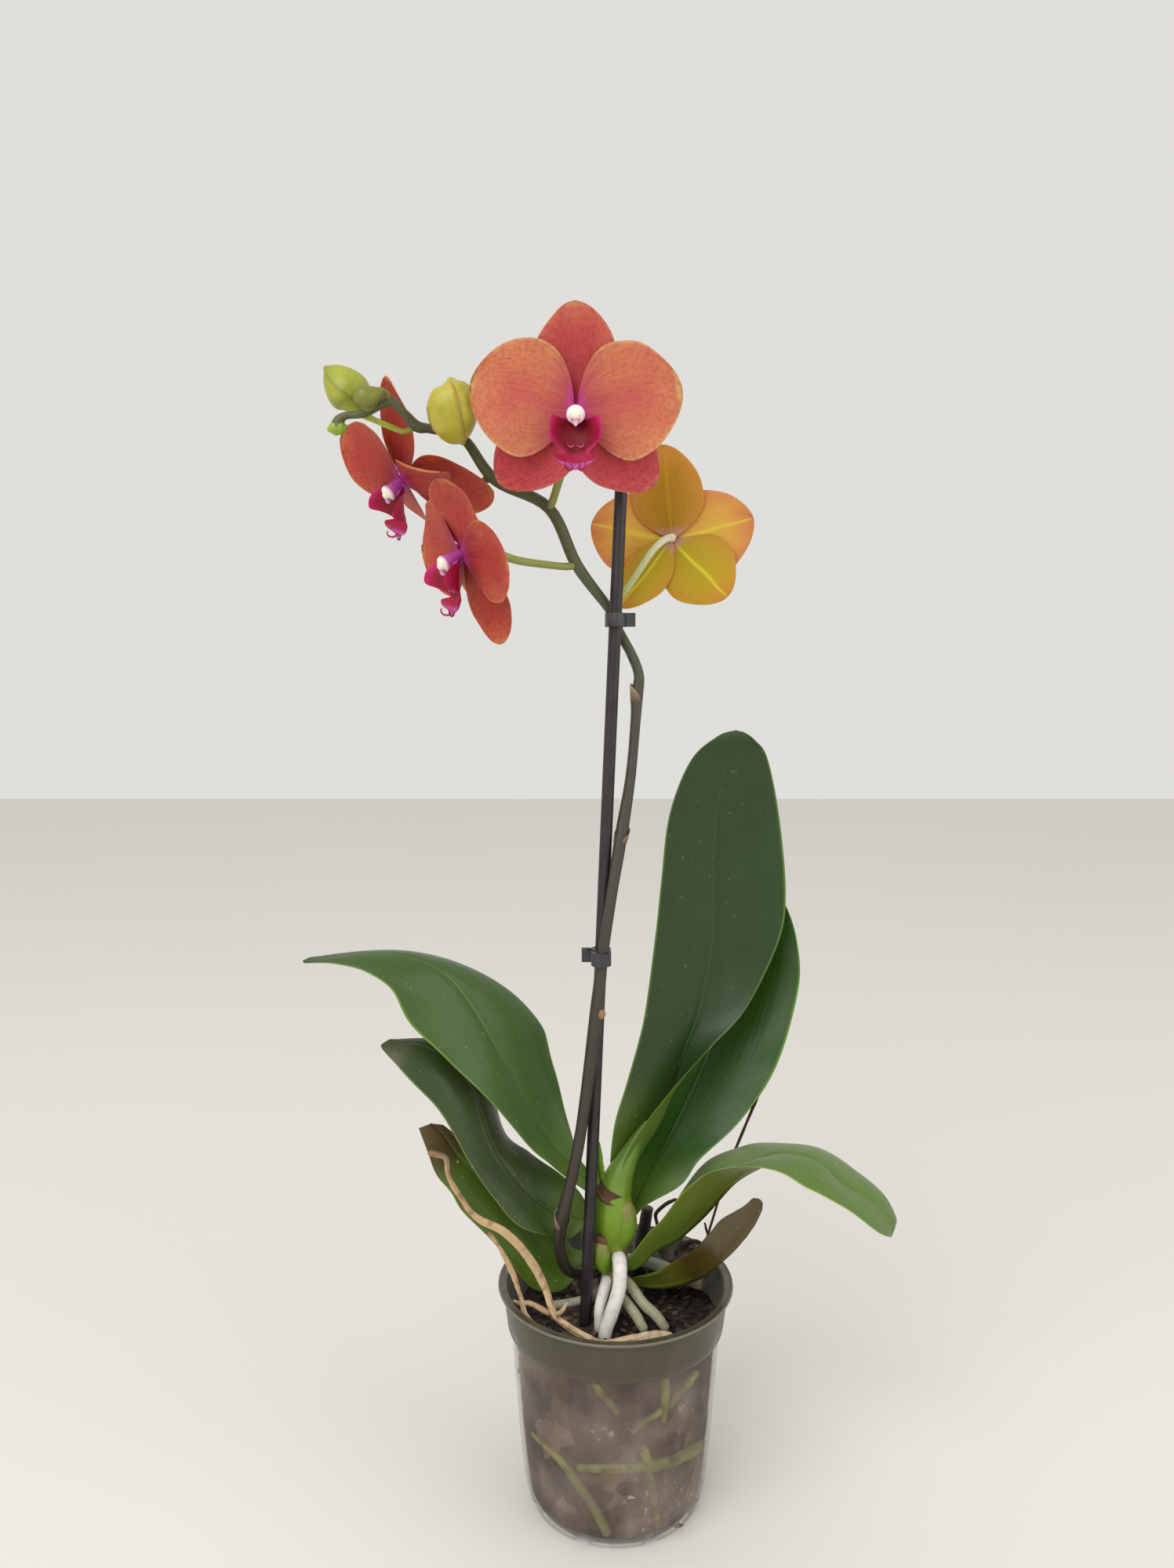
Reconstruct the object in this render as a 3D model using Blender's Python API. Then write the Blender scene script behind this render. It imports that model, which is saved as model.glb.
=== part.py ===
"""Moth orchid in a clear nursery pot: pot, bark medium, stem, leaves, roots,
flower spike on a stake with two clips, four open flowers and three large buds.

Lengths in this file are millimetres; objects are made in metres.
+Z is up, the origin is the centre of the pot's base on the table.
"""
import math

import bpy
from mathutils import Matrix, Vector

MM = 0.001
GAP = 0.4                     # clearance left between touching pieces

# pot
POT_SEGMENTS = 48
POT_RIM_RADIUS = 60.0
POT_HEIGHT = 115.0
POT_RIM_WIDTH = 4.4
POT_FOOT_RADIUS = 42.5
POT_WALL = 1.5
DRAIN_HOLES = 8
DRAIN_RADIUS = 4.0
SHOULDER_DROP = 23.5          # from the rim down to the step in the wall
# wall below the step: (share of its height, radius)
POT_BODY = ((0.0, 46.5), (0.3436, 49.5), (0.6135, 51.0), (0.8589, 52.4), (1.0, 52.9))

# bark medium
RIM_TO_MEDIUM = 17.0          # from the rim down to the medium
MEDIUM_TOP = POT_HEIGHT - RIM_TO_MEDIUM
TABLE_MEDIUM = 98.0           # height of the medium that the plant's tables are drawn for
RAISE = MEDIUM_TOP - TABLE_MEDIUM

# stem (short, swollen, carries every leaf)
STEM_X, STEM_Y = -1.0, 4.0
STEM_PROFILE = ((90, 5.5), (100, 6.2), (112, 7.4), (126, 8.6), (140, 9.3),
                (151, 9.0), (159, 7.4), (165, 4.6), (168, 1.8))

# leaves: rows of (near or left edge, midrib, far or right edge), base to tip
LEAF_THICKNESS = 2.2
LEAF_EDGE_THICKNESS = 1.1
LEAF_ROWS_PER_STATION = 2
LEAVES = {
    "leaf_right_upper": (
        ((-4, 6, 159), (0, 8, 157), (3, 4, 158)),
        ((-3, 6, 169), (7, 11, 164), (3, 0, 167)),
        ((-2, 5, 184), (13, 14, 176), (5, -2, 181)),
        ((0, 2, 199), (23, 14, 193), (16, 0, 199)),
        ((5, 4, 215), (30, 16, 211), (32, 3, 218)),
        ((11, 6, 236), (37, 18, 232), (49, 8, 235)),
        ((15, 8, 254), (44, 20, 252), (67, 12, 254)),
        ((20, 12, 292), (50, 22, 287), (84, 18, 288)),
        ((23, 14, 321), (50, 22, 319), (87, 20, 315)),
        ((27, 14, 354), (51, 20, 352), (83, 20, 353)),
        ((37, 12, 381), (55, 16, 379), (76, 17, 382)),
        ((50, 9, 393), (60, 11, 391), (69, 12, 391)),
        ((59, 8, 396), (63, 9, 395), (65, 9, 394)),
    ),
    "leaf_right_rear": (
        ((0, 8, 141), (4, 9, 139), (8, 7, 141)),
        ((4, 13, 148), (9, 17, 144), (16, 12, 148)),
        ((6, 14, 158), (15, 20, 155), (34, 10, 160)),
        ((11, 18, 174), (23, 26, 168), (44, 12, 173)),
        ((19, 22, 194), (33, 31, 186), (65, 16, 192)),
        ((31, 27, 224), (48, 37, 216), (84, 20, 220)),
        ((48, 32, 267), (65, 43, 257), (96, 27, 259)),
        ((58, 34, 292), (74, 43, 285), (96, 32, 282)),
        ((69, 36, 307), (81, 42, 304), (91, 36, 300)),
        ((78, 38, 313), (81, 40, 312), (84, 39, 310)),
    ),
    "leaf_right_arching": (
        ((3, 1, 122), (5, 4, 117), (5, 7, 120)),
        ((8, -1, 128), (11, 4, 119), (11, 9, 124)),
        ((15, -6, 141), (21, 4, 129), (17, 13, 133)),
        ((24, -12, 154), (33, 2, 137), (27, 18, 140)),
        ((32, -17, 168), (45, 0, 150), (36, 22, 150)),
        ((42, -22, 181), (60, -1, 168), (50, 25, 166)),
        ((56, -26, 187), (71, -2, 176), (70, 26, 174)),
        ((77, -28, 185), (83, -3, 182), (86, 25, 176)),
        ((92, -27, 176), (100, -3, 179), (108, 22, 175)),
        ((108, -25, 166), (114, -3, 167), (126, 19, 164)),
        ((125, -19, 152), (127, -2, 158), (140, 14, 153)),
        ((134, -12, 144), (137, -1, 148), (145, 8, 144)),
        ((140, -4, 139), (141, -2, 140), (143, 1, 141)),
    ),
    "leaf_right_low": (
        ((3, 2, 109), (4, 4, 106), (4, 6, 107)),
        ((9, 2, 114), (11, 5, 108), (11, 10, 110)),
        ((21, -7, 122), (26, 2, 110), (24, 13, 112)),
        ((33, -12, 133), (42, 0, 116), (38, 15, 118)),
        ((47, -15, 148), (56, -2, 129), (53, 14, 132)),
        ((59, -14, 158), (66, -4, 142), (64, 10, 145)),
        ((68, -10, 162), (72, -5, 153), (72, 3, 154)),
        ((72, -7, 161), (74, -5, 158), (74, -2, 158)),
    ),
    "leaf_left_upper": (
        ((-8, 3, 155), (-6, 5, 156), (-7, 6, 160)),
        ((-15, 1, 161), (-11, 6, 161), (-12, 7, 167)),
        ((-25, -3, 170), (-20, 4, 170), (-19, 5, 178)),
        ((-34, -8, 180), (-28, 2, 180), (-22, 7, 187)),
        ((-42, -12, 189), (-37, 0, 192), (-26, 10, 200)),
        ((-55, -18, 208), (-46, -3, 209), (-29, 13, 212)),
        ((-67, -24, 224), (-55, -6, 229), (-33, 15, 226)),
        ((-84, -28, 243), (-64, -9, 248), (-37, 14, 243)),
        ((-99, -30, 259), (-75, -12, 268), (-51, 11, 261)),
        ((-107, -31, 276), (-87, -15, 281), (-71, 6, 275)),
        ((-120, -30, 284), (-104, -17, 288), (-95, 0, 285)),
        ((-135, -27, 287), (-125, -19, 289), (-120, -7, 288)),
        ((-150, -22, 286), (-151, -21, 287), (-148, -18, 288)),
    ),
    "leaf_left_middle": (
        ((-8, 2, 141), (-6, 4, 141), (-7, 6, 144)),
        ((-16, 0, 142), (-13, 5, 143), (-13, 7, 149)),
        ((-23, -1, 137), (-21, 5, 145), (-19, 8, 158)),
        ((-32, -5.5, 140), (-32, 2, 150), (-28, 10, 166)),
        ((-48, -15, 150), (-43, -2, 159), (-37, 10, 173)),
        ((-60, -19, 166), (-53, -5, 172), (-45, 9, 179)),
        ((-70, -22, 183), (-61, -7, 185), (-54, 7, 187)),
        ((-78, -24, 200), (-67, -9, 203), (-60, 5, 202)),
        ((-87, -25, 216), (-72, -11, 219), (-64, 3, 218)),
        ((-99, -25, 228), (-83, -13, 235), (-73, 1, 233)),
        ((-108, -22, 237), (-96, -14, 243), (-90, -4, 242)),
        ((-114, -18, 242), (-115, -17, 244), (-111, -14, 246)),
    ),
    "leaf_left_low": (
        ((-7, 5, 115), (-6, 7, 117), (-5, 9, 119)),
        ((-17, 5, 115), (-15, 8, 118), (-13, 11, 123)),
        ((-28, 2, 107), (-25, 7, 115), (-23, 13, 125)),
        ((-43, -4, 112), (-36, 4, 126), (-30, 15, 137)),
        ((-55, -9, 131), (-47, 1, 141), (-39, 15, 150)),
        ((-65, -9, 143), (-57, 0, 153), (-49, 14, 161)),
        ((-77, -9, 155), (-67, -1, 165), (-59, 12, 170)),
        ((-83, -9, 165), (-74, -2, 174), (-67, 10, 178)),
        ((-90, -8, 174), (-81, -2, 182), (-73, 7, 185)),
        ((-95, -7, 187), (-87, -3, 192), (-80, 2, 190)),
        ((-99, -5, 197), (-93, -4, 199), (-87, -3, 198)),
    ),
    "leaf_new": (
        ((-8, 3, 160), (-5, 6, 160), (-2, 3, 161)),
        ((-11, 2, 167), (-8, 5, 167), (-5, 2, 168)),
        ((-12, 1, 174), (-9, 4, 174), (-6, 1, 175)),
        ((-11, 1, 182), (-9, 3, 182), (-7, 1, 182)),
        ((-10, 1, 187), (-9, 2, 187), (-8, 1, 187)),
    ),
}

# stake, its clips and the cut-off old flower stem
STAKE_FOOT = (-18.5, -8, 22)
STAKE_TOP = (1.8, -8, 520)
STAKE_RADIUS = 3.0
CLIP_HEIGHT = 6.5
CLIPS = {
    "clip_upper": {"z": 449.5, "reach": (-14, 3.4), "tab": 1},
    "clip_lower": {"z": 286.5, "reach": (-20, -2.4), "tab": -1},
}
STUB_PATH = ((11, 27, 95), (14.5, 27.5, 118), (18, 28, 140))
STUB_RADIUS = 3.2

# flower spike: (x, y, z, radius)
SPIKE = ((-5, 6, 118, 2.4), (-12, 2.2, 116, 2.6), (-18.5, -0.6, 117.5, 2.8), (-25, -5, 123, 2.9),
         (-28.5, -9.5, 137, 2.9), (-27, -13, 153, 3.4), (-23, -14, 171, 2.9), (-19, -14.6, 191, 2.9),
         (-15.5, -15, 214, 2.9), (-10, -15, 259, 3.3), (-7, -14.9, 287, 2.7), (-3, -13.5, 315, 2.6),
         (2, -9, 346, 3.1), (6.5, -6, 374, 2.5), (9, -3.5, 402, 2.5), (9.5, -2.5, 412.5, 3.0),
         (10.5, -2, 423, 2.5), (7, -1.3, 433, 2.4), (2, -0.8, 442, 2.4), (-1, -0.8, 448, 2.4),
         (-4, -1.6, 455, 2.3), (-19.5, -6, 475.5, 2.8), (-32.5, -9.5, 501.5, 2.7),
         (-57.5, -14, 514, 2.7), (-71.5, -16.5, 532, 2.2), (-86, -18.5, 536, 2.1),
         (-92.5, -20, 537, 2.6), (-98, -23, 542.5, 2.0), (-104, -25, 547, 2.2),
         (-115.5, -26, 541.5, 1.8), (-123.5, -26, 540.5, 1.7), (-126.5, -26, 538.5, 2.6),
         (-127.5, -26, 535, 3.6), (-128.5, -26, 532.5, 1.2))

# buds: (x, y, z, radius), stalk first
BUDS = {
    "bud_large": ((-71.5, -17, 530.5, 1.6), (-72, -20, 530.5, 1.8), (-73.5, -24, 532, 3.0),
                  (-74, -28, 534, 8.6), (-74.5, -31, 539, 11.2), (-74.5, -33, 545, 10.8),
                  (-74.5, -34, 551, 6.8), (-75, -34.5, 554.5, 1.6)),
    "bud_left": ((-92.5, -20, 537, 1.2), (-95, -16.6, 536.5, 1.3), (-99.5, -16, 535.5, 1.3),
                 (-106, -14.5, 538, 1.4), (-115, -14, 542, 1.6), (-119, -15.5, 545.5, 4.2),
                 (-122, -15.5, 550.5, 9.0), (-126, -15.5, 555, 9.6), (-131, -15.5, 560.5, 6.2),
                 (-134.5, -15.5, 564, 1.4)),
    "bud_round": ((-104, -25, 547, 1.2), (-104.5, -28.2, 549.5, 1.3), (-106.5, -30.5, 550.5, 1.4),
                  (-108.5, -32.3, 549, 3.2), (-112, -33.5, 547, 5.4), (-115, -34, 546, 5.2),
                  (-117.5, -34, 545, 1.4)),
}

# aerial roots: (x, y, z, radius)
ROOTS = {
    "root_white_front": ((1, 1, 128, 3.4), (2, -9, 127, 3.6), (1.5, -13.5, 117, 3.5),
                         (-2, -17.5, 107, 3.6), (-5, -19.5, 99, 3.4), (-6, -20.5, 94, 3.2)),
    "root_white_rear": ((-4, 2, 116, 2.6), (-5.5, -5, 113, 2.8), (-8.2, -12.2, 105.5, 2.7),
                        (-8.4, -13.2, 99, 2.6), (-8.4, -13.6, 94, 2.5)),
    "root_front_right": ((2, 1, 116, 2.5), (8, -5, 113, 2.7), (14, -9.5, 106.5, 2.7),
                         (20.5, -12, 101.5, 2.6), (25, -14, 96, 2.4)),
    "root_front_middle": ((1, 0, 109.5, 2.4), (4, -6.5, 107.5, 2.6), (9.5, -12.5, 103, 2.6),
                          (14, -16.5, 97, 2.4)),
    "root_right_flat": ((1, 9, 116, 3.0), (9, 14.5, 117, 3.2), (22, 20.5, 111, 3.3),
                        (35, 20, 105.5, 3.4), (43, 17, 104, 3.9), (46.5, 15.5, 104, 3.7)),
    "root_left_flat": ((-5, 1, 112, 1.8), (-12, -1.8, 106, 2.1), (-22, -3, 103.5, 2.2),
                       (-33, -3, 101.6, 2.2)),
    "root_dry_long": ((-92.5, -14.5, 188, 1.3), (-84.5, -15, 185.5, 1.5), (-83, -15.5, 176.5, 1.6),
                      (-77.5, -16.2, 166.5, 1.6), (-69.5, -16, 155.5, 1.7), (-55, -18.5, 148.5, 1.9),
                      (-43.5, -17, 134.5, 2.0), (-36, -16, 119.5, 2.0), (-31, -22, 108.5, 2.0),
                      (-24, -28, 105.5, 2.0), (-12, -34, 101.5, 2.1), (-6, -36, 100.4, 2.0),
                      (8, -31, 100.6, 1.9), (18, -28, 101.4, 1.8), (26, -28, 100.6, 1.8),
                      (27, -32, 99.8, 1.5)),
    "root_dry_short": ((-63, -14.2, 146.5, 1.1), (-57.5, -16, 139, 1.3), (-51.5, -14.8, 125.5, 1.4),
                       (-48, -15.2, 114, 1.4), (-44.5, -19.5, 104.5, 1.5), (-36, -24.5, 99.9, 1.4)),
}

# open flowers: centre of the face, facing direction, roll and size of the face
FLOWERS = {
    "flower_front": {"at": (-19.5, -42, 539), "face": (0.0, -0.985, -0.17), "roll": 0, "size": 1.04},
    "flower_left": {"at": (-103, 7, 517), "face": (-0.68, -0.47, -0.56), "roll": -20, "size": 1.0},
    "flower_lower": {"at": (-70, -40, 478), "face": (-0.80, -0.46, -0.38), "roll": -6, "size": 1.0},
    "flower_rear": {"at": (27.8, 22, 489.5), "face": (0.10, 0.98, -0.14), "roll": 0, "size": 0.9},
}
# length, width, angle round the face, lift off the face plane, slope, bend, cup, twist
TEPALS = {
    "sepal_top": (41.5, 35, 90, -0.7, -0.04, -0.08, 2, 0),
    "petal_left": (43, 48, 165, 1.2, 0.06, -0.12, 2, 0),
    "petal_right": (43, 48, 12, 1.2, 0.06, -0.12, 2, 0),
    "sepal_left": (42, 33, 222, -0.7, -0.05, -0.10, 2, 0),
    "sepal_right": (43, 33, -42, -0.7, -0.05, -0.10, 2, 0),
}
TEPAL_CHANGES = {
    "flower_left_sepal_top": (43, 32, 88, -0.7, -0.36, -0.06, 2, 0),
    "flower_lower_sepal_top": (31, 33, 90, -0.7, -0.04, -0.02, 2, 0),
    "flower_left_petal_right": (38, 30, 14, 1.2, 0.1, -0.1, 2, 20),
    "flower_left_sepal_right": (43, 33, -36, -0.7, -0.38, -0.05, 2, 0),
    "flower_lower_petal_left": (42, 44, 176, 1.2, 0.06, -0.12, 2, 0),
    "flower_lower_sepal_right": (45, 32, -80, -0.7, -0.06, -0.02, 2, 0),
    "flower_lower_sepal_left": (40, 30, 214, -2.8, -0.12, -0.10, 2, 0),
    "flower_rear_sepal_top": (49, 40, 84, -0.7, -0.04, -0.08, 2, 0),
    "flower_rear_sepal_left": (42, 42, 227, -0.7, -0.05, -0.10, 2, 0),
    "flower_rear_sepal_right": (45, 26, -54, -2.8, -0.05, -0.10, 2, 0),
}
TEPAL_START = 2.9
TEPAL_THICKNESS = 0.9
NECK_RADIUS = 2.2
NECK_BACK = 3.0
COLUMN = ((0, 0, -NECK_BACK, 1.8), (0, 0, 1, NECK_RADIUS), (0, -0.3, 5, 2.6), (0, -1, 8.5, 3.6),
          (0, -1.8, 10.6, 3.3), (0, -2.6, 12, 1.2))
# lip: (y, z, half width along the curve, rise of the channel)
LIP = ((-3.6, 2.4, 1.6, 9), (-5.0, 4.6, 4.0, 8), (-7.4, 6.6, 12, 8), (-11, 7.8, 14, 8),
       (-14.6, 8.6, 6.5, 8), (-17, 9.2, 3.6, 12), (-19.6, 10.2, 7.5, 14), (-22, 12.2, 7.0, 13),
       (-23.6, 14.4, 1.4, 12))

# flower stalks: from the middle of the spike to the back of each flower
PEDICELS = {
    "pedicel_front": ("flower_front", ((-32.5, -9.5, 501.5, 1.9), (-31, -12.4, 503.5, 1.9),
                                       (-29.5, -14, 507.5, 1.8), (-26.5, -20, 516, 1.9),
                                       (-22, -30, 530, 2.0))),
    "pedicel_left": ("flower_left", ((-57.5, -14, 514, 1.8), (-61.5, -11.4, 514.5, 1.7),
                                     (-67, -4, 513.5, 1.7), (-80, 8, 517.5, 1.8),
                                     (-92, 11, 523.5, 1.9))),
    "pedicel_lower": ("flower_lower", ((-19.5, -6, 475.5, 1.7), (-24, -8.6, 474.5, 1.7),
                                       (-32.5, -11.5, 475, 1.7), (-47, -20, 476.5, 1.8),
                                       (-57, -29.5, 479.5, 1.9))),
    "pedicel_rear": ("flower_rear", ((-4, -1.6, 455, 1.5), (-0.5, 3, 458.5, 1.5), (3.5, 6.5, 463, 1.6),
                                     (10, 9.8, 472.5, 1.7), (17, 11.4, 483, 1.8),
                                     (22.5, 13.5, 488.5, 1.8))),
}

MATERIALS = {
    "clear_plastic": (0.45, 0.40, 0.33), "bark": (0.16, 0.11, 0.07), "leaf": (0.08, 0.16, 0.05),
    "stem": (0.20, 0.32, 0.06), "spike": (0.10, 0.10, 0.04), "bud": (0.45, 0.48, 0.09),
    "root": (0.62, 0.60, 0.52), "dry_root": (0.50, 0.33, 0.20), "petal": (0.62, 0.17, 0.09),
    "lip": (0.28, 0.01, 0.04), "column": (0.75, 0.55, 0.60), "stake": (0.03, 0.025, 0.03),
    "clip": (0.04, 0.04, 0.04),
}


def material(name):
    """Principled material of one of the listed colours."""
    mat = bpy.data.materials.get(name)
    if mat is None:
        mat = bpy.data.materials.new(name)
        mat.use_nodes = True
        shader = mat.node_tree.nodes["Principled BSDF"]
        shader.inputs["Base Color"].default_value = (*MATERIALS[name], 1.0)
        shader.inputs["Roughness"].default_value = 0.5
    return mat


def add_mesh(name, points, faces, mat):
    """Closed solid from points in millimetres."""
    mesh = bpy.data.meshes.new(name)
    mesh.from_pydata([Vector(p) * MM for p in points], [], faces)
    mesh.validate()
    mesh.update()
    obj = bpy.data.objects.new(name, mesh)
    bpy.context.scene.collection.objects.link(obj)
    mesh.materials.append(material(mat))
    return obj


def hide(obj):
    """Mark a solid as a cutting tool only."""
    obj.hide_render = True
    obj.display_type = "WIRE"
    return obj


def cut(obj, tool):
    """Remove the tool's volume from the solid."""
    mod = obj.modifiers.new("cut_" + tool.name, "BOOLEAN")
    mod.operation = "DIFFERENCE"
    mod.object = tool
    mod.solver = "EXACT"


def spline(points, steps):
    """Smooth run through the points, a number of steps per span."""
    rows = [Vector(p) for p in points]
    out = []
    for i in range(len(rows) - 1):
        p1, p2 = rows[i], rows[i + 1]
        p0 = rows[i - 1] if i else p1 * 2 - p2
        p3 = rows[i + 2] if i + 2 < len(rows) else p2 * 2 - p1
        for k in range(steps):
            t = k / steps
            out.append(0.5 * (2 * p1 + (p2 - p0) * t + (2 * p0 - 5 * p1 + 4 * p2 - p3) * t * t
                              + (3 * p1 - p0 - 3 * p2 + p3) * t ** 3))
    out.append(rows[-1])
    return out


def lathe(name, profile, segments, mat):
    """Solid turned round +Z; the profile starts and ends on the axis."""
    rings = profile[1:-1]
    points = [(0, 0, profile[0][1])]
    for r, z in rings:
        for k in range(segments):
            a = 2 * math.pi * k / segments
            points.append((r * math.cos(a), r * math.sin(a), z))
    points.append((0, 0, profile[-1][1]))
    last = len(points) - 1
    faces = []
    for k in range(segments):
        n = (k + 1) % segments
        faces.append((0, 1 + n, 1 + k))
        for i in range(len(rings) - 1):
            a, b = 1 + i * segments, 1 + (i + 1) * segments
            faces.append((a + k, a + n, b + n, b + k))
        a = 1 + (len(rings) - 1) * segments
        faces.append((a + k, a + n, last))
    return add_mesh(name, points, faces, mat)


def tube_points(path, sides):
    """Rings round a run of (x, y, z, radius) without twist."""
    centres = [Vector(p[:3]) for p in path]
    tangents = []
    for i in range(len(centres)):
        a, b = centres[max(i - 1, 0)], centres[min(i + 1, len(centres) - 1)]
        tangents.append((b - a).normalized())
    side = tangents[0].orthogonal().normalized()
    points = []
    for c, t, p in zip(centres, tangents, path):
        side = (side - t * side.dot(t)).normalized()
        other = t.cross(side)
        for k in range(sides):
            a = 2 * math.pi * k / sides
            points.append(c + (side * math.cos(a) + other * math.sin(a)) * p[3])
    return points


def tube(name, path, sides, mat, steps=2, grow=0.0, place=None):
    """Closed round rod of changing radius through (x, y, z, radius)."""
    run = spline([Vector(p) for p in path], steps)
    run = [(p[0], p[1], p[2], max(p[3], 0.6) + grow) for p in run]
    if grow:
        for end, near in ((0, 1), (-1, -2)):
            tip = Vector(run[end][:3])
            tip += (tip - Vector(run[near][:3])).normalized() * grow
            run[end] = (*tip, run[end][3])
    points = tube_points(run, sides)
    if place:
        points = [place @ p for p in points]
    faces = [tuple(range(sides - 1, -1, -1))]
    for i in range(len(run) - 1):
        for k in range(sides):
            n = (k + 1) % sides
            a, b = i * sides, (i + 1) * sides
            faces.append((a + k, a + n, b + n, b + k))
    last = (len(run) - 1) * sides
    faces.append(tuple(range(last, last + sides)))
    return add_mesh(name, points, faces, mat)


def sheet(name, grid, thickness, mat):
    """Closed thin solid on both sides of a grid of points; thickness(u, v)."""
    nu, nv = len(grid), len(grid[0])
    top, bottom = [], []
    for i in range(nu):
        for j in range(nv):
            du = grid[min(i + 1, nu - 1)][j] - grid[max(i - 1, 0)][j]
            dv = grid[i][min(j + 1, nv - 1)] - grid[i][max(j - 1, 0)]
            normal = du.cross(dv).normalized()
            half = thickness(i / (nu - 1), 2 * j / (nv - 1) - 1) / 2
            top.append(grid[i][j] + normal * half)
            bottom.append(grid[i][j] - normal * half)
    count = nu * nv
    faces = []
    for i in range(nu - 1):
        for j in range(nv - 1):
            a = i * nv + j
            faces.append((a, a + nv, a + nv + 1, a + 1))
            faces.append((a + count, a + count + 1, a + count + nv + 1, a + count + nv))
    rim = [i * nv for i in range(nu)]
    rim += [(nu - 1) * nv + j for j in range(1, nv)]
    rim += [i * nv + nv - 1 for i in range(nu - 2, -1, -1)]
    rim += [j for j in range(nv - 2, 0, -1)]
    for k, a in enumerate(rim):
        b = rim[(k + 1) % len(rim)]
        faces.append((b, a, a + count, b + count))
    return add_mesh(name, top + bottom, faces, mat)


def leaf(name, rows):
    """Leaf lofted through its edge and midrib stations."""
    rails = [spline([row[k] for row in rows], LEAF_ROWS_PER_STATION) for k in range(3)]
    grid = []
    for left, mid, right in zip(*rails):
        line = [left, left.lerp(mid, 0.5), mid, mid.lerp(right, 0.5), right]
        grid.append(line)

    def thickness(u, v):
        row = grid[round(u * (len(grid) - 1))]
        room = 0.28 * min((row[2] - row[0]).length, (row[4] - row[2]).length,
                          (row[4] - row[0]).length)
        full = LEAF_THICKNESS + (LEAF_EDGE_THICKNESS - LEAF_THICKNESS) * abs(v)
        return max(min(full, room), 0.7)
    return sheet(name, grid, thickness, "leaf")


def flower_frame(spec):
    """Matrix placing a flower: x right, y to the top sepal, z out of the face."""
    z = Vector(spec["face"]).normalized()
    x = Vector((0, 0, 1)).cross(z).normalized()
    y = z.cross(x)
    frame = Matrix((x, y, z)).transposed() @ Matrix.Rotation(math.radians(spec["roll"]), 3, "Z")
    return Matrix.Translation(Vector(spec["at"])) @ frame.to_4x4() @ Matrix.Scale(spec["size"], 4)


def tepal_grid(shape, nu, nv):
    """Midsurface of a sepal or petal in the flower's own axes."""
    length, width, angle, lift, slope, bend, cup, twist = shape
    a = math.radians(angle)
    along, across = Vector((math.cos(a), math.sin(a), 0)), Vector((-math.sin(a), math.cos(a), 0))
    grid = []
    for i in range(nu + 1):
        t = i / nu
        swell = math.sin(math.pi * t ** 0.85)
        base = 0.8 if width > length else 1.0
        half = width / 2 * max(swell, 0.0) ** (base if t < 0.44 else 0.52)
        half = max(half, 1.4 if t < 0.5 else 3.0)
        turn = math.radians(twist) * t
        row = []
        for j in range(nv + 1):
            s = 2 * j / nv - 1
            out = along * (TEPAL_START + length * t)
            rise = lift + length * (slope * t + bend * t * t) + cup * s * s * math.sin(math.pi * t)
            out += across * (half * s * math.cos(turn))
            out += Vector((0, 0, rise + half * s * math.sin(turn)))
            row.append(out)
        grid.append(row)
    return grid


def lip_grid(nv):
    """Midsurface of the three-lobed lip: a channel, then a spreading middle lobe."""
    grid = []
    for y, z, half, radius in spline_rows(LIP, 2):
        row = []
        for j in range(nv + 1):
            arc = half * (2 * j / nv - 1) / radius
            row.append(Vector((radius * math.sin(arc), y, z + radius * (1 - math.cos(arc)))))
        grid.append(row)
    return grid


def spline_rows(rows, steps):
    """Smooth rows of four values."""
    return [tuple(v) for v in spline([Vector(r) for r in rows], steps)]


def flower(name, spec):
    """Column, lip, three sepals and two petals of one open flower."""
    place = flower_frame(spec)
    tube(name + "_column", COLUMN, 10, "column", 2, 0.0, place)
    for part, shape in TEPALS.items():
        shape = TEPAL_CHANGES.get(name + "_" + part, shape)
        grid = [[place @ p for p in row] for row in tepal_grid(shape, 8, 4)]
        sheet(name + "_" + part, grid, lambda u, v: TEPAL_THICKNESS, "petal")
    grid = [[place @ p for p in row] for row in lip_grid(6)]
    sheet(name + "_lip", grid, lambda u, v: 1.0, "lip")


def pot_outside():
    """Outer wall of the pot below its flange, foot to rim."""
    shoulder = POT_HEIGHT - SHOULDER_DROP
    wall = [(radius, 10 + (shoulder - 10) * share) for share, radius in POT_BODY]
    return ([(POT_FOOT_RADIUS, 0), (44.6, 2.4)] + wall
            + [(55, shoulder + 1.5), (57.2, POT_HEIGHT - 3)])


def pot_inside():
    """Inner wall of the pot, floor to rim."""
    rows = [(radius - POT_WALL, z) for radius, z in pot_outside()[2:-1]]
    step = POT_HEIGHT - SHOULDER_DROP
    rows[-2] = (rows[-2][0], step + 1.3)
    rows[-1] = (rows[-1][0], step + 2.5)
    return [(43, 3.6)] + rows


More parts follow.
